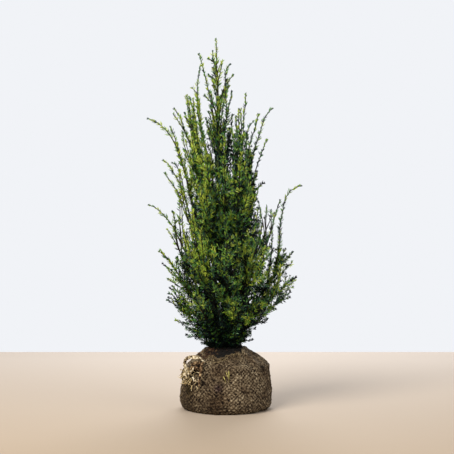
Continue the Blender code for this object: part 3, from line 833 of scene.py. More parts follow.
# Yew bark: thin red-brown plates that peel in long flakes. It is matt, with purple-brown hollows and warm
# fresh patches, and the flakes run along the limb.
bark, tree, shader = new_material("yew bark, flaking", 0.82, 0.3)
spot = add_node(tree, "UVMap", uv_map=trunk.data.uv_layers[0].name)
long_grain = add_node(tree, "Mapping", {"Vector": spot.outputs["UV"], "Scale": (1, 0.35, 1)})
flakes = add_node(tree, "TexVoronoi", {"Vector": long_grain.outputs[0], "Scale": 1 / BARK_FLAKE})
along = {"Vector": long_grain.outputs[0], "Scale": 2.5 / BARK_FLAKE, "Detail": 4, "Roughness": 0.65}
fibre = add_node(tree, "TexNoise", along)
mixed = {0: flakes.outputs["Distance"], 1: 0.6, 2: fibre.outputs["Fac"]}
plate = add_node(tree, "Math", mixed, operation="MULTIPLY_ADD")
peel_stops = ((0.45, "#8A5A3C"), (0.65, "#5E3A29"), (0.85, "#38221B"), (1.0, "#1E1310"))
peel = add_node(tree, "ValToRGB", {0: plate.outputs[0]}, stops=peel_stops)
tree.links.new(peel.outputs[0], shader.inputs["Base Color"])
rough_to(tree, shader, plate.outputs[0], 0.7, 0.001).invert = True
trunk.data.materials.append(bark)
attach(trunk, "root")
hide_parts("trunk")


# ---- Boughs ----
# Eight limbs that leave the trunk at a narrow angle and climb and arch outwards, each to the foot of one
# plume of foliage. They grow from the trunk itself, with the same bark, smoother where it is young.
BOUGH_RADIUS = 0.0050
BOUGH_TIP_RADIUS = 0.0030
BOUGH_ROWS, BOUGH_COLUMNS = 90, 18
BOUGH_FLUTE_TWIST = 11
BOUGH_RELIEF = (0.004, 0.0009)
# Plumes that shape the outline: name, azimuth in degrees, height where the course leaves the trunk, reach
# and height of the tip, arch of the tip, share of the course that is a bough, how fresh its green is, and
# the share towards the tip that is a bare whip with no side twigs.
SHAPING_PLUMES = (
    ("top_left", 175, 0.800, 0.087, 1.140, 0.1, 0, 0.70, 0.78),
    ("top_near", 206, 0.730, 0.092, 1.095, 0.0, 0, 0.62, 0.74),
    ("top_right", 45, 0.780, 0.028, 1.110, 0.1, 0, 0.55, 0.74),
    ("top_front", 290, 0.690, 0.053, 1.012, 0.1, 0, 0.70, 0.62),
    ("left_high", 180, 0.620, 0.130, 1.002, 0.2, 0, 0.72, 0.55),
    ("right_high", 350, 0.600, 0.061, 1.009, 0.1, 0, 0.60, 0.60),
    ("left_arm", 173, 0.500, 0.168, 0.965, 0.4, 0, 0.66, 0.50),
    ("right_arm", 334, 0.420, 0.114, 0.939, 0.3, 0, 0.52, 0.48),
    ("left_whip", 187, 0.400, 0.250, 0.930, 0.8, 0.40, 0.64, 0.50),
    ("right_whip", 12, 0.450, 0.150, 0.967, 0.5, 0.35, 0.50, 0.50),
    ("left_mid", 166, 0.340, 0.212, 0.800, 0.6, 0.40, 0.58, 0.42),
    ("left_near", 196, 0.310, 0.201, 0.753, 0.5, 0, 0.74, 0.36),
    ("right_mid", 0, 0.370, 0.132, 0.862, 0.3, 0.40, 0.48, 0.40),
    ("left_hook", 184, 0.270, 0.248, 0.654, 0.8, 0.38, 0.60, 0.46),
    ("right_hook", 357, 0.290, 0.237, 0.716, 0.9, 0.38, 0.46, 0.30),
    ("right_near", 336, 0.260, 0.184, 0.665, 0.4, 0, 0.40, 0.44),
    ("left_low", 162, 0.250, 0.200, 0.574, 0.4, 0.38, 0.56, 0.26),
    ("left_foot", 196, 0.228, 0.216, 0.505, 0.5, 0, 0.60, 0.26),
    ("right_low", 10, 0.250, 0.217, 0.500, 0.4, 0.38, 0.42, 0.14),
    ("right_foot", 346, 0.226, 0.228, 0.424, 0.5, 0, 0.36, 0.18),
    ("skirt_left", 181, 0.216, 0.190, 0.347, 0.5, 0, 0.38, 0.14),
    ("skirt_right", 2, 0.216, 0.205, 0.372, 0.4, 0, 0.32, 0.10),
)
# Plumes of the front, the back and the inside, in rings: name, azimuths in degrees, height where the first
# leaves the trunk, reach, height of the first tip, drop from each tip to the next, and how fresh each green
# is.
RINGS = (
    ("crown", (70, 125), 0.700, 0.085, 1.020, 0.04, (0.5, 0.5)),
    ("middle", (238, 268, 300, 50, 92, 135), 0.430, 0.135, 0.880, 0.02, (0.74, 0.58, 0.52, 0.5, 0.4, 0.5)),
    ("inner", (215, 325, 95), 0.330, 0.085, 0.640, 0.03, (0.32, 0.28, 0.26)),
    ("lower", (232, 270, 308, 50, 90, 130), 0.250, 0.190, 0.620, 0.01, (0.60, 0.44, 0.42, 0.4, 0.4, 0.5)),
    ("skirt", (232, 282, 322, 60, 118), 0.219, 0.165, 0.370, 0.01, (0.42, 0.40, 0.38, 0.36, 0.36)),
)
RING_ARCH = 0.3
RING_STAGGER = 0.012
RING_WHIP = 0.22
STEM_SAMPLES = 60


def all_plumes():
    """Every plume but the leader, as rows of the same kind as SHAPING_PLUMES."""
    rows = list(SHAPING_PLUMES)
    for ring, azimuths, foot, reach, tip, drop, greens in RINGS:
        for index, (azimuth, green) in enumerate(zip(azimuths, greens)):
            height = foot + RING_STAGGER * (index % 3)
            name = f"{ring}_{index + 1}"
            rows.append((name, azimuth, height, reach, tip - drop * index, RING_ARCH, 0, green, RING_WHIP))
    return rows


def course(plume, share):
    """Points on a plume's course, from the trunk's centre at share 0 to the plume's tip at share 1."""
    _, azimuth, foot_height, reach, tip_height, arch, _, _, _ = plume
    share = np.asarray(share, float)
    foot = trunk_axis(foot_height)
    turn = math.radians(azimuth)
    out = (1 - 0.3 * arch) * (1 - (1 - share) ** 1.7) + 0.3 * arch * share**6
    rise = (1 - 0.9 * arch) * share + 0.9 * arch * (4 * share - share**4) / 3
    x = foot[0] + out * (reach * math.cos(turn) - foot[0])
    y = foot[1] + out * (reach * math.sin(turn) - foot[1])
    return np.stack((x, y, foot_height + rise * (tip_height - foot_height)), axis=-1)


def bough_lobe(angle, share):
    return 1 + FLUTE_DEPTH * np.sin(FLUTES * angle + BOUGH_FLUTE_TWIST * share)


limbs = []
for plume in all_plumes():
    if plume[6]:
        centres = course(plume, np.linspace(0, plume[6], BOUGH_ROWS))
        radii = np.linspace(BOUGH_RADIUS, BOUGH_TIP_RADIUS, BOUGH_ROWS)
        limb = limb_sheet("bough", centres, radii, BOUGH_COLUMNS, bough_lobe)
        roughen(limb, *BOUGH_RELIEF)
        limbs.append(limb)
boughs = join_pieces("bough_bark", limbs)
boughs.data.materials.append(bark)
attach(boughs, "root")
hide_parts(*(f"bough_{plume[0]}" for plume in all_plumes() if plume[6]))


# ---- Stems and twigs ----
# From each bough's tip, or straight from the trunk, one stem climbs to the plume's tip. Side twigs leave it
# in a spiral and turn upwards, and short twigs branch from those. Old wood is red brown, this year's growth
# is green.
LEADER_TIP = np.array((-0.033, 0.0, 1.186))
LEADER_GREEN = 0.80
JOIN_GAP = 0.0003
STEM_RADIUS = 0.0029
LONG_SHOOT_RADIUS = 0.0022
STEM_TIP_RADIUS = 0.0011
TWIG_RADIUS = 0.0013
TWIG_TIP_RADIUS = 0.0006
SHORT_TWIG_RADIUS = 0.0008
SHORT_TWIG_TIP_RADIUS = 0.0005
TWIG_LENGTH = 0.150
TWIG_SHORTENING = 0.6
TWIG_PITCH = 0.017
TWIG_ANGLE = math.radians(34)
SHORT_TWIG_LENGTH = 0.040
SHORT_TWIG_PITCH = 0.020
SHORT_TWIG_ANGLE = math.radians(40)
BUSHY_HEIGHT = 0.62
SLENDER_TOP, SLENDER_SPAN, SLENDER_LEAST = 1.06, 0.36, 0.35
BOUGH_TWIGS = 16
BOUGH_GREEN = 0.22
GOLDEN_TURN = math.radians(137.5)
# A twig turns upwards as it grows, and its angle and length vary between these shares. Where it has no room
# it tries again, shorter by this much.
TWIG_LIFT, TWIG_UPTURN, TWIG_TILT = 0.12, 0.35, 0.13
TWIG_ANGLES, TWIG_LENGTHS, TWIG_SPREADS, TRY_SHORTENING = (0.85, 1.3), (0.65, 1.2), (-0.1, 0.25), 0.12
# The same for short twigs, with the shares of the twig between which they stand and how they tilt.
SPRIG_UPTURN, SPRIG_SHORTENING, SPRIG_SPAN = 0.3, 0.6, (0.15, 0.80)
SPRIG_ANGLES, SPRIG_LENGTHS, SPRIG_TILTS = (0.8, 1.2), (0.7, 1.2), (-0.25, 0.35)
# The shares of a shoot's needles that lie in two ranks, and the bare shares at its foot.
TWIG_FLATNESS, SPRIG_FLATNESS = 0.5, 0.7
STEM_BARE, TWIG_BARE, SPRIG_BARE = 0.06, 0.04, 0.05
# A twig's upper side faces out of the crown, a little up and turned by chance.
FACE_LIFT, FACE_TURN = 0.04, 0.03
# How the green varies up a plume, and by chance among twigs, among short twigs and among those on boughs.
SHADE_CLIMB, TWIG_SHADE, SPRIG_SHADE, BOUGH_SHADE = 0.22, 0.34, 0.14, 0.15
FIRST_TWIG, LAST_TWIG, BUSHY_RANGE = 0.05, 0.98, (0.8, 1.25)
BOUGH_CLOTHED_FROM, BOUGH_TWIG_LENGTH = 0.25, 0.6 * TWIG_LENGTH
# Stems kink a little: how far, and how many times a metre.
KINK_DEPTH, KINKS = 0.0030, 45
# The length of needles on stems, twigs and short twigs, and on the top of the trunk.
STEM_NEEDLE, TWIG_NEEDLE, SPRIG_NEEDLE, TOP_NEEDLE = 0.0150, 0.0140, 0.0135, 0.0145
# The leafy body of the crown, beyond which only whips stand out: heights, with its reach to the left and
# right.
BODY = (
    (0.184, 0.030, 0.034), (0.205, 0.064, 0.042), (0.235, 0.104, 0.076), (0.260, 0.126, 0.108),
    (0.284, 0.138, 0.124), (0.348, 0.156, 0.178), (0.410, 0.166, 0.204), (0.445, 0.176, 0.206),
    (0.477, 0.162, 0.198), (0.520, 0.142, 0.158), (0.570, 0.126, 0.118), (0.620, 0.110, 0.102),
    (0.671, 0.118, 0.098), (0.703, 0.122, 0.098), (0.770, 0.114, 0.096), (0.830, 0.126, 0.088),
    (0.897, 0.134, 0.080), (0.930, 0.134, 0.074), (0.960, 0.124, 0.046), (1.000, 0.104, 0.020),
    (1.060, 0.080, 0.016),
)
BODY_HEIGHTS, BODY_LEFT, BODY_RIGHT = zip(*BODY)
BODY_RAGGED = 0.09
CLEARANCE = 0.0022
TRIES = 4
GREEN_WOOD = 0.40
FOOT_SHOOTS, FOOT_LENGTH, FOOT_LOPSIDED = 190, 0.090, 0.015
FOOT_RISES, FOOT_LENGTHS, FOOT_GREENS, FOOT_UPTURN = (-0.1, 0.9), (0.5, 1.2), (0.1, 0.36), 0.5
FOOT_LOW, FOOT_HIGH, FOOT_CEILING = 0.192, 0.262, 0.42
# The top of the trunk has needles from this height up, this far from its middle and this green.
LEAFY_TRUNK, TOP_ASIDE, TOP_GREEN = 0.66, 0.0035, 0.80
# How far the middle of a stem stands out from the plain course, and how far above it.
BOWS = {
    "top_left": (-0.020, 0), "top_near": (0.022, 0), "top_right": (-0.026, 0),
    "right_high": (0.007, 0), "top_front": (-0.046, 0), "left_arm": (-0.020, 0),
    "right_arm": (-0.018, 0), "left_whip": (-0.014, 0.004), "right_whip": (-0.015, 0),
    "left_mid": (-0.004, 0.012), "left_near": (-0.006, 0.010), "right_mid": (-0.018, 0),
    "right_near": (0.012, 0),
}
# Stems that end before their plume's tip does, where a longer shoot takes their place.
SHORT_STEMS = {"right_hook": 0.66, "top_right": 0.78, "crown_1": 0.70}
# Long shoots that leave a stem part of the way up and climb to a tip of their own: the host, then for each
# shoot the share of the host where it leaves, azimuth, reach and height of the tip, how far the tip leans
# out, how fresh its green is, and the share that is a bare whip.
LONG_SHOOTS = (
    ("leader", (0.36, 176, 0.0425, 1.148, 0, 0.6, 1), (0.46, 186, 0.053, 1.125, 0.9, 0.56, 1),
     (0.4, 150, 0.012, 1.12, 0.6, 0.84, 1), (0.26, 196, 0.047, 1.092, 0.3, 0.66, 1),
     (0.18, 225, 0.026, 1.1, 0.1, 0.9, 1), (0.2, 192, 0.052, 1.072, 0.8, 0.58, 1),
     (0.08, 200, 0.046, 1.05, 0.4, 0.78, 1)),
    ("trunk", (0.93, 188, 0.043, 1.036, 0.3, 0.5, 1), (0.95, 30, 0.004, 1.056, 0.4, 0.52, 1),
     (0.96, 330, 0.01, 1.035, 0.3, 0.78, 1), (0.94, 120, 0.02, 1.02, 0.3, 0.66, 1),
     (0.9, 215, 0.06, 1.01, 0.3, 0.6, 1)),
    ("left_arm", (0.3, 186, 0.128, 0.86, 0.1, 0.8, 0.5)),
    ("left_whip", (0.4, 180, 0.134, 0.8, 0.1, 0.78, 0.5), (0.36, 200, 0.136, 0.745, 0.1, 0.74, 0.9)),
    ("top_near", (0.35, 210, 0.1, 0.985, 0.2, 0.8, 0.8)),
    ("left_high", (0.36, 210, 0.118, 0.962, 0.2, 0.82, 0.8), (0.2, 195, 0.1, 0.9, 0.2, 0.86, 0.7),
     (0.55, 182, 0.118, 1.000, 0.3, 0.6, 1)),
    ("trunk", (0.86, 250, 0.045, 0.985, 0.2, 0.8, 1), (0.8, 160, 0.062, 0.955, 0.3, 0.6, 0.8),
     (0.82, 75, 0.034, 0.965, 0.3, 0.52, 0.8), (0.92, 184, 0.066, 1.004, 0.7, 0.45, 1),
     (0.84, 300, 0.04, 0.939, 0.3, 0.78, 1)),
    ("top_front", (0.72, 45, 0.018, 1.108, 1, 0.56, 1)),
    ("trunk", (0.9, 320, 0.028, 1.069, 0.7, 0.6, 1)),
    ("top_near", (0.55, 195, 0.107, 1.027, 0.6, 0.66, 1)),
    ("left_high", (0.6, 188, 0.108, 0.993, 0.4, 0.8, 1), (0.7, 190, 0.124, 1.003, 0.2, 0.66, 1),
     (0.48, 170, 0.133, 0.951, 0.4, 0.52, 1), (0.42, 195, 0.123, 0.951, 0.3, 0.7, 1),
     (0.3, 202, 0.112, 0.93, 0.2, 0.82, 1)),
    ("left_arm", (0.6, 188, 0.166, 0.944, 0.5, 0.5, 1), (0.35, 200, 0.15, 0.88, 0.2, 0.74, 0.7)),
    ("left_whip", (0.62, 176, 0.181, 0.904, 0.5, 0.62, 1), (0.5, 193, 0.16, 0.85, 0.2, 0.78, 1)),
    ("left_mid", (0.6, 172, 0.175, 0.791, 0.8, 0.45, 1)),
    ("left_near", (0.55, 205, 0.165, 0.76, 0.1, 0.86, 0.9)),
    ("left_hook", (0.55, 168, 0.158, 0.668, 0.6, 0.46, 1), (0.45, 198, 0.152, 0.69, 0.1, 0.8, 0.9)),
    ("left_low", (0.7, 195, 0.175, 0.63, 0.6, 0.62, 1), (0.66, 170, 0.158, 0.601, 0.5, 0.55, 1),
     (0.75, 180, 0.167, 0.588, 0.6, 0.6, 1)),
    ("left_foot", (0.5, 190, 0.213, 0.508, 0.6, 0.8, 1), (0.45, 183, 0.203, 0.464, 0.8, 0.62, 0.8),
     (0.4, 192, 0.188, 0.416, 0.8, 0.6, 0.8)),
    ("skirt_left", (0.66, 172, 0.184, 0.384, 0.9, 0.5, 1), (0.6, 188, 0.183, 0.371, 0.9, 0.54, 0.8),
     (0.52, 178, 0.181, 0.355, 0.9, 0.44, 0.8), (0.3, 190, 0.16, 0.284, 0.8, 0.4, 0.5),
     (0.18, 175, 0.129, 0.258, 0.8, 0.36, 0.5)),
    ("trunk", (0.03, 195, 0.128, 0.238, 0.9, 0.3, 0.4)),
    ("right_high", (0.5, 335, 0.045, 0.958, 0.2, 0.66, 1), (0.55, 15, 0.051, 0.964, 0.5, 0.5, 1)),
    ("right_arm", (0.66, 352, 0.083, 0.92, 0.6, 0.44, 1), (0.4, 320, 0.095, 0.85, 0.2, 0.66, 0.7)),
    ("right_mid", (0.5, 318, 0.101, 0.841, 0.5, 0.56, 0.8), (0.52, 5, 0.122, 0.725, 0.9, 0.46, 1)),
    ("right_near", (0.5, 340, 0.11, 0.661, 0.4, 0.5, 0.8), (0.55, 10, 0.133, 0.651, 0.6, 0.42, 1),
     (0.56, 355, 0.127, 0.619, 0.6, 0.42, 1), (0.7, 345, 0.149, 0.635, 0.4, 0.46, 1)),
    ("right_low", (0.6, 358, 0.237, 0.716, 1, 0.5, 0.9), (0.56, 346, 0.178, 0.59, 0.2, 0.44, 0.9),
     (0.45, 350, 0.15, 0.56, 0.1, 0.46, 0.8), (0.76, 5, 0.193, 0.511, 0.7, 0.44, 0.7),
     (0.78, 355, 0.211, 0.471, 0.1, 0.36, 1)),
    ("right_foot", (0.45, 343, 0.186, 0.47, 0.1, 0.92, 0.8), (0.7, 4, 0.223, 0.41, 0.8, 0.4, 0.8)),
    ("skirt_right", (0.72, 350, 0.206, 0.358, 0.9, 0.36, 0.8), (0.28, 345, 0.134, 0.2855, 0.9, 0.36, 0.6)),
    ("trunk", (0.015, 340, 0.087, 0.2235, 0.9, 0.3, 0.6)),
    ("lower_1", (0.35, 223, 0.177, 0.57, 0.1, 0.84, 0.5), (0.3, 243, 0.168, 0.58, 0, 0.8, 0.5),
     (0.45, 233, 0.172, 0.64, 0, 0.8, 0.6)),
    ("middle_1", (0.3, 222, 0.15, 0.78, 0.1, 0.84, 0.6), (0.2, 236, 0.148, 0.7, 0.1, 0.82, 0.5),
     (0.45, 212, 0.13, 0.88, 0.1, 0.86, 0.7)),
    ("middle_3", (0.35, 292, 0.12, 0.82, 0, 0.76, 0.6), (0.25, 306, 0.13, 0.74, 0, 0.72, 0.5)),
    ("lower_3", (0.3, 311, 0.172, 0.47, 0, 0.68, 0.6)),
    ("lower_2", (0.2, 259, 0.173, 0.405, 0.1, 0.74, 0.7)),
    ("skirt_2", (0.4, 280, 0.152, 0.335, 0.1, 0.56, 0.6)),
    ("skirt_3", (0.35, 297, 0.145, 0.315, 0.1, 0.66, 0.6)),
    ("middle_3", (0.15, 318, 0.118, 0.69, 0.1, 0.66, 0.6)),
    ("lower_3", (0.4, 322, 0.128, 0.64, 0.1, 0.6, 0.6), (0.3, 316, 0.122, 0.585, 0.1, 0.56, 0.6)),
    ("trunk", (0.78, 199, 0.067, 0.93, 0, 0.54, 0.5)),
    ("right_high", (0.35, 322, 0.044, 0.935, 0, 0.6, 0.4)),
    ("left_high", (0.5, 184, 0.129, 0.935, 0.3, 0.5, 1)),
    ("skirt_left", (0.45, 184, 0.172, 0.392, 0.7, 0.44, 0.8)),
    ("right_high", (0.3, 345, 0.034, 0.905, 0, 0.54, 0.4)),
    ("left_high", (0.25, 186, 0.131, 0.828, 0.1, 0.66, 0.5)),
)
# Where the crown is open right through, seen along a level line from the front: across, up and radius.
SKY_GAPS = (
    (-0.042, 0.897, 0.0047), (0.028, 0.907, 0.0041), (-0.040, 0.811, 0.0080), (0.019, 0.824, 0.0029),
    (-0.051, 0.733, 0.0029), (-0.068, 0.782, 0.0029), (-0.078, 0.710, 0.0029), (0.033, 0.765, 0.0029),
    (0.039, 0.745, 0.0029), (0.010, 0.710, 0.0029), (-0.092, 0.519, 0.0041), (-0.090, 0.494, 0.0041),
    (-0.065, 0.481, 0.0041), (-0.048, 0.460, 0.0029), (-0.006, 0.515, 0.0041), (-0.018, 0.535, 0.0023),
    (-0.155, 0.437, 0.0041), (-0.089, 0.397, 0.0035), (-0.028, 0.406, 0.0035), (-0.010, 0.361, 0.0029),
    (0.116, 0.548, 0.0041), (0.131, 0.526, 0.0041), (0.144, 0.552, 0.0041), (0.106, 0.516, 0.0035),
    (0.107, 0.474, 0.0029), (0.150, 0.484, 0.0029), (0.083, 0.413, 0.0035), (0.130, 0.406, 0.0029),
    (0.078, 0.342, 0.0050), (0.155, 0.344, 0.0041), (-0.018, 0.339, 0.0029), (0.128, 0.584, 0.0041),
    (-0.046, 0.798, 0.0034), (-0.032, 0.963, 0.0040), (0.012, 0.968, 0.0036), (-0.139, 0.748, 0.0040),
    (-0.139, 0.822, 0.0036), (-0.048, 0.943, 0.0036), (0.084, 0.413, 0.0034), (0.100, 0.489, 0.0032),
    (0.124, 0.489, 0.0032), (-0.100, 0.548, 0.0034), (-0.113, 0.506, 0.0030), (0.150, 0.334, 0.0040),
    (0.112, 0.574, 0.0045), (0.140, 0.600, 0.0045), (0.158, 0.575, 0.0040), (0.045, 0.640, 0.0028),
    (-0.030, 0.621, 0.0026), (-0.012, 0.634, 0.0026), (0.055, 0.617, 0.0028), (-0.066, 0.275, 0.0028),
    (-0.136, 0.616, 0.0060), (-0.129, 0.692, 0.0034), (-0.104, 0.668, 0.0030), (0.122, 0.640, 0.0060),
    (0.134, 0.650, 0.0050), (0.121, 0.606, 0.0050), (0.094, 0.730, 0.0040), (-0.112, 0.900, 0.0040),
    (-0.142, 0.562, 0.0050), (-0.152, 0.532, 0.0040), (-0.141, 0.735, 0.0045), (-0.134, 0.652, 0.0045),
    (-0.149, 0.581, 0.0110), (-0.157, 0.533, 0.0140), (-0.143, 0.636, 0.0120), (-0.032, 0.842, 0.0050),
    (0.129, 0.589, 0.0190), (0.092, 0.775, 0.0090), (-0.128, 0.840, 0.0070), (-0.132, 0.728, 0.0100),
    (-0.039, 0.958, 0.0060), (0.178, 0.499, 0.0060), (0.194, 0.352, 0.0060), (0.073, 0.842, 0.0070),
    (-0.172, 0.591, 0.0050), (-0.169, 0.868, 0.0060), (0.143, 0.596, 0.0080), (-0.151, 0.516, 0.0080),
)
# A gap is this much slimmer and taller than its radius, and its edge this ragged.
GAP_SLIM = 1.35
GAP_RAGGED = 0.35


def bowed_course(plume, share):
    """Points on a plume's course, with its stem bowed a little in or out beyond the bough's tip."""
    bough, turn = plume[6], math.radians(plume[1])
    along = np.clip((share - bough) / (1 - bough), 0, 1)[:, None]
    outward, up = BOWS.get(plume[0], (0, 0))
    bow = np.array((outward * math.cos(turn), outward * math.sin(turn), up))
    return course(plume, share) + 4 * along * (1 - along) * bow


def stem_points(plume, count):
    """The plume's own stem, from its bough's tip or from the trunk to its tip."""
    bough = plume[6]
    start = bough + JOIN_GAP / path_length(course(plume, np.linspace(0, 1, 90))) if bough else 0
    return bowed_course(plume, np.linspace(start, SHORT_STEMS.get(plume[0], 1), count))


def leader_points(count):
    foot = trunk_axis(TRUNK_TOP) + upward(JOIN_GAP)
    return foot + np.linspace(0, 1, count)[:, None] * (LEADER_TIP - foot)


def host_points(host):
    """Points along the limb or the stem that a long shoot leaves."""
    if host == "trunk":
        return trunk_axis(np.linspace(TRUNK_FOOT, TRUNK_TOP, STEM_SAMPLES))
    if host == "leader":
        return leader_points(STEM_SAMPLES)
    plume = next(plume for plume in all_plumes() if plume[0] == host)
    return bowed_course(plume, np.linspace(0, 1, STEM_SAMPLES))


def long_shoot_points(host, share, azimuth, reach, height, lean, count):
    """A smooth curve that leaves its host along the host's own direction and leans out at its tip."""
    path = host_points(host)
    place = min(int(share * (len(path) - 1)), len(path) - 2)
    foot = path[place]
    turn = math.radians(azimuth)
    tip = np.array((reach * math.cos(turn), reach * math.sin(turn), height))
    span = np.linalg.norm(tip - foot)
    outward = unit((tip - foot) * (1, 1, 0))
    leave = unit(unit(path[place + 1] - foot) + 0.5 * unit(tip - foot)) * span
    arrive = unit(lean * outward + upward(1 - 0.7 * lean)) * span
    t = np.linspace(0, 1, count)[:, None]
    return (
        (2 * t**3 - 3 * t**2 + 1) * foot
        + (t**3 - 2 * t**2 + t) * leave
        + (3 * t**2 - 2 * t**3) * tip
        + (t**3 - t**2) * arrive
    )


limb_points = [trunk_axis(np.linspace(TRUNK_FOOT, TRUNK_TOP, 200))]
limb_radii = [trunk_radius(limb_points[0][:, 2])]
for plume in all_plumes():
    if plume[6]:
        limb_points.append(course(plume, np.linspace(0, plume[6], 40)))
        limb_radii.append(np.linspace(BOUGH_RADIUS, BOUGH_TIP_RADIUS, 40))
limb_points, limb_radii = np.concatenate(limb_points), np.concatenate(limb_radii)


def body_reach(points):
    """How far out the leafy body of the crown goes at these points' heights and azimuths."""
    around = np.maximum(np.hypot(points[:, 0], points[:, 1]), 0.001)
    right = 0.5 + 0.5 * points[:, 0] / around
    left_reach = np.interp(points[:, 2], BODY_HEIGHTS, BODY_LEFT)
    return left_reach + right * (np.interp(points[:, 2], BODY_HEIGHTS, BODY_RIGHT) - left_reach)


def in_sky_gap(points):
    """Which points stand in one of the crown's openings, as they line up with the camera."""
    nearer = CAMERA_DISTANCE / (CAMERA_DISTANCE + points[:, 1])
    across = CAMERA_ASIDE + (points[:, 0] - CAMERA_ASIDE) * nearer
    up = CAMERA_HEIGHT + (points[:, 2] - CAMERA_HEIGHT) * nearer
    gaps = np.array(SKY_GAPS)
    ragged = 1 + GAP_RAGGED * np.sin(900 * points[:, 0] + 1300 * points[:, 1] + 700 * points[:, 2])
    from_gap = np.hypot((across[:, None] - gaps[:, 0]) * GAP_SLIM, (up[:, None] - gaps[:, 1]) / GAP_SLIM)
    return (from_gap * ragged[:, None] < gaps[:, 2]).any(axis=1)


def room_for(points, ceiling, slack=1):
    """How many of these points a twig may have before it leaves the body or meets a limb or an opening."""
    around = np.hypot(points[:, 0], points[:, 1])
    out = (around > slack * body_reach(points)) | (points[:, 2] > ceiling + CLEARANCE)
    out |= points[:, 2] < BODY_HEIGHTS[0]
    near = (np.linalg.norm(points[:, None] - limb_points, axis=2) - limb_radii).min(axis=1) < CLEARANCE
    near[:2] = False
    stopped = np.flatnonzero(out | near | in_sky_gap(points))
    return stopped[0] if len(stopped) else len(points)


shoots = []


def grow_shoot(points, radii, face, flatness, bare, green, needle):
    """Notes one shoot for the wood and for its needles. Without radii it has needles only."""
    shoots.append((points, radii, face, flatness, bare, green, needle))


def grow_twig(foot, along, ahead, length, ceiling, count, slack=1):
    """A twig's points: it leaves along one direction, turns to another and stops where its room ends."""
    share = np.linspace(0, 1, count)[:, None]
    headings = unit(along * (1 - share) + ahead * share)
    steps = np.concatenate((np.zeros((1, 3)), np.cumsum(headings[:-1], axis=0)))
    points = foot + length / (count - 1) * steps
    points = points[: room_for(points, ceiling, slack)]
    return points if len(points) > count // 2 else None


def clothe_twig(chance, twig, ceiling, bushy, shade):
    """A side twig with its needles and, where it is bushy, short twigs on both sides."""
    foot = twig[0]
    turned = np.array([chance.uniform(-FACE_TURN, FACE_TURN) for _ in range(3)])
    face = unit(np.array((foot[0], foot[1], FACE_LIFT)) + turned)
    radii = np.linspace(TWIG_RADIUS, TWIG_TIP_RADIUS, len(twig))
    grow_shoot(twig, radii, face, TWIG_FLATNESS if bushy else 0, TWIG_BARE, shade, TWIG_NEEDLE)
    tangents, _, _ = frames_along(twig)
    pairs = max(2, round(path_length(twig) / SHORT_TWIG_PITCH)) if bushy else chance.choice((0, 1, 2))
    for order, where in enumerate(np.linspace(*SPRIG_SPAN, pairs)):
        spot = where * (len(twig) - 1)
        base = int(spot)
        joint = twig[base] + (spot - base) * (twig[base + 1] - twig[base])
        side = unit(np.cross(tangents[base], face)) * (-1) ** order
        bend = SHORT_TWIG_ANGLE * chance.uniform(*SPRIG_ANGLES)
        aside = side * math.sin(bend) + face * chance.uniform(*SPRIG_TILTS)
        sprout = unit(tangents[base] * math.cos(bend) + aside)
        small = SHORT_TWIG_LENGTH * (1 - SPRIG_SHORTENING * where) * chance.uniform(*SPRIG_LENGTHS)
        ahead = unit(sprout + upward(SPRIG_UPTURN))
        sprig = grow_twig(joint, sprout, ahead, small, ceiling, 4, 1 + BODY_RAGGED)
        if sprig is not None:
            radii = np.linspace(SHORT_TWIG_RADIUS, SHORT_TWIG_TIP_RADIUS, len(sprig))
            tint = shade + chance.uniform(-SPRIG_SHADE, SPRIG_SHADE)
            grow_shoot(sprig, radii, face, SPRIG_FLATNESS, SPRIG_BARE, tint, SPRIG_NEEDLE)


def side_twig(chance, foot, tangent, length, turn, ceiling):
    """Tries a side twig in a few directions until it has room, and returns it with its turn."""
    for attempt in range(TRIES):
        turn += GOLDEN_TURN
        spread = TWIG_ANGLE * chance.uniform(*TWIG_ANGLES)
        size = length * chance.uniform(*TWIG_LENGTHS) * (1 - TRY_SHORTENING * attempt)
        across = unit(np.cross(tangent, (math.sin(turn), math.cos(turn), TWIG_TILT)))
        along = unit(tangent * math.cos(spread) + across * math.sin(spread) + upward(TWIG_LIFT))
        ahead = unit(tangent + across * chance.uniform(*TWIG_SPREADS) + upward(TWIG_UPTURN))
        slack = 1 + BODY_RAGGED * chance.uniform(-1, 1)
        twig = grow_twig(foot, along, ahead, size, ceiling, 9, slack)
        if twig is not None:
            return twig, turn
    return None, turn


def grow_plume(name, stem, radius, whip_share, green):
    """One plume by the same seeded rule as its solid, carried on to finer twigs."""
    chance = random.Random("yew " + name)
    tip = stem[-1]
    total = path_length(stem)
    tangents, _, _ = frames_along(stem)
    last = len(stem) - 1
    shares = np.linspace(0, 1, len(stem))
    kink = KINK_DEPTH * (shares * np.sin(shares * total * KINKS + green * 9))[:, None]
    stem = stem + kink * np.array((math.sin(40 * green), math.cos(40 * green), 0))
    outward = unit(np.array((tip[0], tip[1], 0.02)))
    radii = np.linspace(radius, STEM_TIP_RADIUS, len(stem))
    grow_shoot(stem, radii, outward, 0, STEM_BARE, green - 0.04, STEM_NEEDLE)
    turn = chance.uniform(0, 2 * math.pi)
    leafy = LAST_TWIG - whip_share
    for share in np.linspace(FIRST_TWIG, leafy, max(0, round(total * (leafy - FIRST_TWIG) / TWIG_PITCH))):
        place = min(int(share * last), last - 1)
        foot = stem[place]
        slender = min(max((SLENDER_TOP - foot[2]) / SLENDER_SPAN, SLENDER_LEAST), 1)
        length = TWIG_LENGTH * (1 - TWIG_SHORTENING * share) * slender
        twig, turn = side_twig(chance, foot, tangents[place], length, turn, tip[2])
        if twig is not None:
            shade = green + SHADE_CLIMB * (share - 0.5) + chance.uniform(-TWIG_SHADE, TWIG_SHADE)
            clothe_twig(chance, twig, tip[2], foot[2] < BUSHY_HEIGHT * chance.uniform(*BUSHY_RANGE), shade)


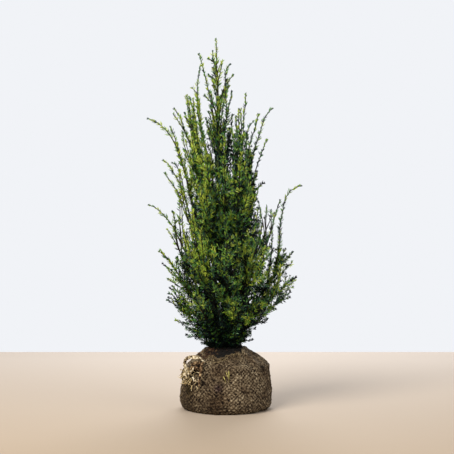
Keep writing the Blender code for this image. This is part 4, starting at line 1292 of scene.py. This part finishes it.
def clothe_bough(plume):
    """Short dark twigs on a bough, inside the crown."""
    chance = random.Random("yew bough " + plume[0])
    turn = chance.uniform(0, 2 * math.pi)
    path = course(plume, np.linspace(BOUGH_CLOTHED_FROM * plume[6], plume[6], BOUGH_TWIGS + 1))
    for foot, after in zip(path, path[1:]):
        twig, turn = side_twig(chance, foot, unit(after - foot), BOUGH_TWIG_LENGTH, turn, plume[4])
        if twig is not None:
            shade = BOUGH_GREEN + chance.uniform(-BOUGH_SHADE, BOUGH_SHADE)
            clothe_twig(chance, twig, plume[4], True, shade)


for plume in all_plumes():
    grow_plume(plume[0], stem_points(plume, STEM_SAMPLES), STEM_RADIUS, plume[8], plume[7])
    if plume[6]:
        clothe_bough(plume)
grow_plume("leader", leader_points(STEM_SAMPLES), STEM_RADIUS, 1, LEADER_GREEN)
long_shoots = [(host, shoot) for host, *rows in LONG_SHOOTS for shoot in rows]
for number, (host, (*bends, green, whip)) in enumerate(long_shoots):
    route = long_shoot_points(host, *bends, STEM_SAMPLES // 2)
    grow_plume(f"{host} {number}", route, LONG_SHOOT_RADIUS, whip, green)

# The trunk's foot is hidden by short shoots, longer on the left, and its top has needles on its own young
# bark.
chance = random.Random("yew foot")
for number in range(FOOT_SHOOTS):
    height = FOOT_LOW + (FOOT_HIGH - FOOT_LOW) * number / FOOT_SHOOTS
    turn = GOLDEN_TURN * number
    outward = np.array((math.cos(turn), math.sin(turn), 0))
    foot = trunk_axis(height) + 0.7 * trunk_radius(height) * outward
    along = unit(outward + upward(chance.uniform(*FOOT_RISES)))
    size = (FOOT_LENGTH - FOOT_LOPSIDED * math.cos(turn)) * chance.uniform(*FOOT_LENGTHS)
    sprout = grow_twig(foot, along, unit(along + upward(FOOT_UPTURN)), size, FOOT_CEILING, 9)
    if sprout is not None:
        clothe_twig(chance, sprout, FOOT_CEILING, True, chance.uniform(*FOOT_GREENS))
upper_trunk = trunk_axis(np.linspace(LEAFY_TRUNK, TRUNK_TOP, 60))
for turn in range(0, 360, 60):
    aside = TOP_ASIDE * np.array((math.cos(math.radians(turn)), math.sin(math.radians(turn)), 0))
    grow_shoot(upper_trunk + aside, None, unit(aside), 0, 0, TOP_GREEN + 0.0004 * turn, TOP_NEEDLE)

# Young yew wood: the bark of twigs in their first years, smooth and slightly waxy. Old twigs are red brown
# and this year's are yellow green, and both are too thin to show more than a faint mottling.
brown, green = ((0.35, "#0F0C09"), (0.65, "#2A2016")), ((0.35, "#4A5A1C"), (0.65, "#838A2E"))
old_wood = mottled_material("yew twig, brown", 0.65, 0.2, 220, 2, brown)
young_wood = mottled_material("yew twig, green", 0.55, 0.4, 220, 2, green)

wood = {"twigs_old": [], "twigs_young": []}
for points, radii, _, flatness, _, green_share, _ in shoots:
    if radii is None:
        continue
    young = green_share > GREEN_WOOD and flatness > 0
    sides = 5 if flatness == 0 else 3
    wood["twigs_young" if young else "twigs_old"].append(tube_arrays(points, radii, sides))
joined_piece("twigs_old", *join_arrays(wood["twigs_old"]), old_wood, "bark")
joined_piece("twigs_young", *join_arrays(wood["twigs_young"]), young_wood, "foliage")


# ---- Needles ----
# Flat, narrow, leathery needles with a raised midrib and a short point. On upright shoots they stand all
# round, on side twigs in two ranks, and each year's growth ends in a tuft. They are dark green, and olive
# where they are new.
NEEDLE_WIDTH = 0.0030
NEEDLE_PITCH = 0.0023
ROUND_PITCH = 0.0017
ROUND_BREADTH = 1.2
NEEDLE_TWIST = math.radians(60)
HALF_TURN = math.radians(45)
NEEDLE_RISE = math.radians(52)
NEEDLE_TIP_RISE = math.radians(36)
TUFT_RISE = 0.8
TUFT_STRETCH = 0.85
TUFT_DARKENING = 0.40
# Needles stand in small clusters: how long each is, how its green, its needles' length and its side vary.
CLUSTER_SPAN = 0.0095
CLUSTER_SHADE = 0.30
CLUSTER_STRETCH = 0.38
CLUSTER_SHARE = 0.62
NEEDLE_OUTLINE = ((0, 0), (0.5, 0.48), (0, 1), (-0.5, 0.48))
NEEDLE_RIDGE = (0, 0.42, 0.22)
TUFT = 8
MOST_IN_PIECE = 32000
# How needles vary by chance: along the shoot, round it, beside their rank, in length and in green.
NEEDLE_JITTER, LEAN_SPREAD, RANK_SPREAD, NEEDLE_LENGTHS, NEEDLE_SHADE = 0.001, 0.7, 0.35, (0.85, 1.15), 0.12
# Needles turn a little upwards, get shorter and greener towards the tip, and twist less in ranks.
NEEDLE_UPTURN, TIP_SHORTENING, TIP_GREENING, RANKED_TWIST = 0.10, 0.35, 0.10, 0.4
# Each kind's name, the least freshness it stands for, its colour, its roughness and its gloss.
GREENS = (
    ("shade", -9, "#0B1A17", 0.50, 0.12),
    ("deep", 0.27, "#254C3C", 0.40, 0.60),
    ("leaf", 0.45, "#4A7E37", 0.42, 0.50),
    ("fresh", 0.66, "#7A9C2E", 0.44, 0.4),
    ("bright", 0.92, "#A6B640", 0.42, 0.4),
)
# The crown's reach at some heights, from which a needle's depth in the crown is judged. Needles deep in it
# are made darker: partly their own older colour, partly painted shade.
CROWN_HEIGHTS = (0.20, 0.35, 0.45, 0.60, 0.80, 0.95, 1.19)
CROWN_REACHES = (0.10, 0.19, 0.20, 0.17, 0.13, 0.09, 0.03)
INNER_AGE_AND_SHADE = 0.72
OUTER_LIFT = 0.15
# The crown thins above the first of these heights, and from there up to the second the painted shade deep in
# it fades out.
SHADED_TOP, OPEN_TOP = 0.78, 1.04

deselect()
bpy.ops.mesh.primitive_circle_add(vertices=4, radius=1, fill_type="TRIFAN")
needle = bpy.context.object
bpy.ops.object.mode_set(mode="EDIT")
bpy.ops.mesh.select_all(action="SELECT")
bpy.ops.mesh.region_to_loop()
bpy.ops.mesh.edge_face_add()
bpy.ops.mesh.select_all(action="SELECT")
bpy.ops.mesh.quads_convert_to_tris()
bpy.ops.object.mode_set(mode="OBJECT")
outline = iter(NEEDLE_OUTLINE)
for vertex in needle.data.vertices:
    middle = vertex.co.length < 0.1
    vertex.co = NEEDLE_RIDGE if middle else (*next(outline), 0)
bpy.ops.object.mode_set(mode="EDIT")
bpy.ops.mesh.select_all(action="SELECT")
bpy.ops.mesh.normals_make_consistent(inside=False)
bpy.ops.object.mode_set(mode="OBJECT")
needle_pattern = template(needle)

chance = np.random.default_rng(23)
needle_places, needle_axes, needle_greens = [], [], []
for points, _, face, flatness, bare, green_share, size in shoots:
    run = path_length(points)
    reached = np.concatenate(([0], np.cumsum(np.linalg.norm(np.diff(points, axis=0), axis=1))))
    count = int(run * (1 - bare) / (ROUND_PITCH if flatness == 0 else NEEDLE_PITCH))
    if count < 2:
        continue
    order = np.arange(count + TUFT)
    spaced = np.linspace(bare * run, run, count) + chance.uniform(-NEEDLE_JITTER, NEEDLE_JITTER, count)
    where = np.clip(np.concatenate((spaced, np.full(TUFT, run))), 0, run)
    places = np.column_stack([np.interp(where, reached, points[:, axis]) for axis in range(3)])
    tangents = unit(np.gradient(points, axis=0))
    along = unit(np.column_stack([np.interp(where, reached, tangents[:, axis]) for axis in range(3)]))
    across = unit(np.cross(along, face))
    up = np.cross(across, along)
    cluster = (where / CLUSTER_SPAN).astype(int)
    clusters = cluster[-1] + 1
    tone = chance.normal(0, CLUSTER_SHADE, clusters)[cluster]
    stretch = chance.uniform(1 - CLUSTER_STRETCH, 1 + CLUSTER_STRETCH, clusters)[cluster]
    stretch[count:] = TUFT_STRETCH
    leaning = chance.uniform(0, 2 * math.pi, clusters)[cluster] + chance.normal(0, LEAN_SPREAD, len(order))
    ranked = math.pi * (order % 2) + chance.normal(0, RANK_SPREAD, len(order))
    clustered = chance.random(len(order)) < CLUSTER_SHARE
    spiral = np.where(clustered, leaning, GOLDEN_TURN * order + 3 * green_share)
    flat = (chance.random(len(order)) < flatness) & (order < count)
    roll = np.where(flat, ranked, spiral)[:, None]
    spoke = across * np.cos(roll) + up * np.sin(roll)
    share = np.clip(where / run, 0, 1)
    rise = NEEDLE_RISE + (NEEDLE_TIP_RISE - NEEDLE_RISE) * share**2
    rise = (rise * np.where(order < count, 1, TUFT_RISE) * chance.uniform(0.8, 1.2, len(order)))[:, None]
    pointing = unit(along * np.cos(rise) + spoke * np.sin(rise) + upward(NEEDLE_UPTURN))
    facing = np.where(flat[:, None], up, spoke * np.cos(rise) - along * np.sin(rise))
    facing = unit(facing - pointing * (facing * pointing).sum(axis=1, keepdims=True))
    twist = NEEDLE_TWIST * chance.uniform(-1, 1, len(order)) * np.where(flat, RANKED_TWIST, 1)
    twist = (twist + np.where(flat, 0, HALF_TURN))[:, None]
    facing = facing * np.cos(twist) + np.cross(pointing, facing) * np.sin(twist)
    tapered = size * stretch * (1 - TIP_SHORTENING * share**3)
    lengths = (tapered * chance.uniform(*NEEDLE_LENGTHS, len(order)))[:, None]
    width = NEEDLE_WIDTH * (ROUND_BREADTH if flatness == 0 else 1)
    axes = np.stack((np.cross(pointing, facing) * width, pointing * lengths, facing * width), axis=1)
    needle_places.append(places)
    needle_axes.append(axes)
    fading = np.where(order < count, 0, TUFT_DARKENING)
    fresher = green_share + TIP_GREENING * (share - 0.5) - fading + tone
    needle_greens.append(fresher + chance.normal(0, NEEDLE_SHADE, len(order)))
needle_places = np.concatenate(needle_places)
needle_axes = np.concatenate(needle_axes)
needle_greens = np.concatenate(needle_greens)
kept = ~in_sky_gap(needle_places + 0.5 * needle_axes[:, 1])
needle_places, needle_axes, needle_greens = needle_places[kept], needle_axes[kept], needle_greens[kept]
# Painted shade: needles deep inside the crown, below its open top, are darkened by their depth.
envelope = np.interp(needle_places[:, 2], CROWN_HEIGHTS, CROWN_REACHES)
depth = np.clip(1 - np.hypot(needle_places[:, 0], needle_places[:, 1]) / envelope, 0, 1)
shade_below_top = 1 - smooth_step(needle_places[:, 2], SHADED_TOP, OPEN_TOP)
needle_greens += OUTER_LIFT - INNER_AGE_AND_SHADE * depth**1.2 * shade_below_top

# Yew needles: a leathery leaf with a waxy upper side, so they are dark with a soft sheen. Each kind is one
# plain green, dealt out by shoot, with a slight mottling from needle to needle.
# The darkest kind holds many needles darkened by that painted shade.
foliage_nodes = [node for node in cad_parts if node.startswith("foliage_")]
least = [green[1] for green in GREENS] + [99]
for (kind, low, colour, roughness, gloss), high in zip(GREENS, least[1:]):
    chosen = np.flatnonzero((needle_greens >= low) & (needle_greens < high))
    leaf, tree, shader = new_material(f"yew needle, {kind}", roughness, gloss)
    local = add_node(tree, "TexCoord")
    mottle = add_node(tree, "TexNoise", {"Vector": local.outputs["Object"], "Scale": 90, "Detail": 1})
    lift = add_node(tree, "MapRange", {"Value": mottle.outputs["Fac"], "To Min": 0.70, "To Max": 1.30})
    shift = add_node(tree, "HueSaturation", {"Color": linear(colour), "Value": lift.outputs[0]})
    tree.links.new(shift.outputs[0], shader.inputs["Base Color"])
    for number, part in enumerate(np.array_split(chosen, max(1, -(-len(chosen) // MOST_IN_PIECE)))):
        shape = spread_copies(needle_pattern, needle_places[part], needle_axes[part])
        joined_piece(f"needles_{kind}_{number + 1}", *shape, leaf, "foliage")
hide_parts(*foliage_nodes)
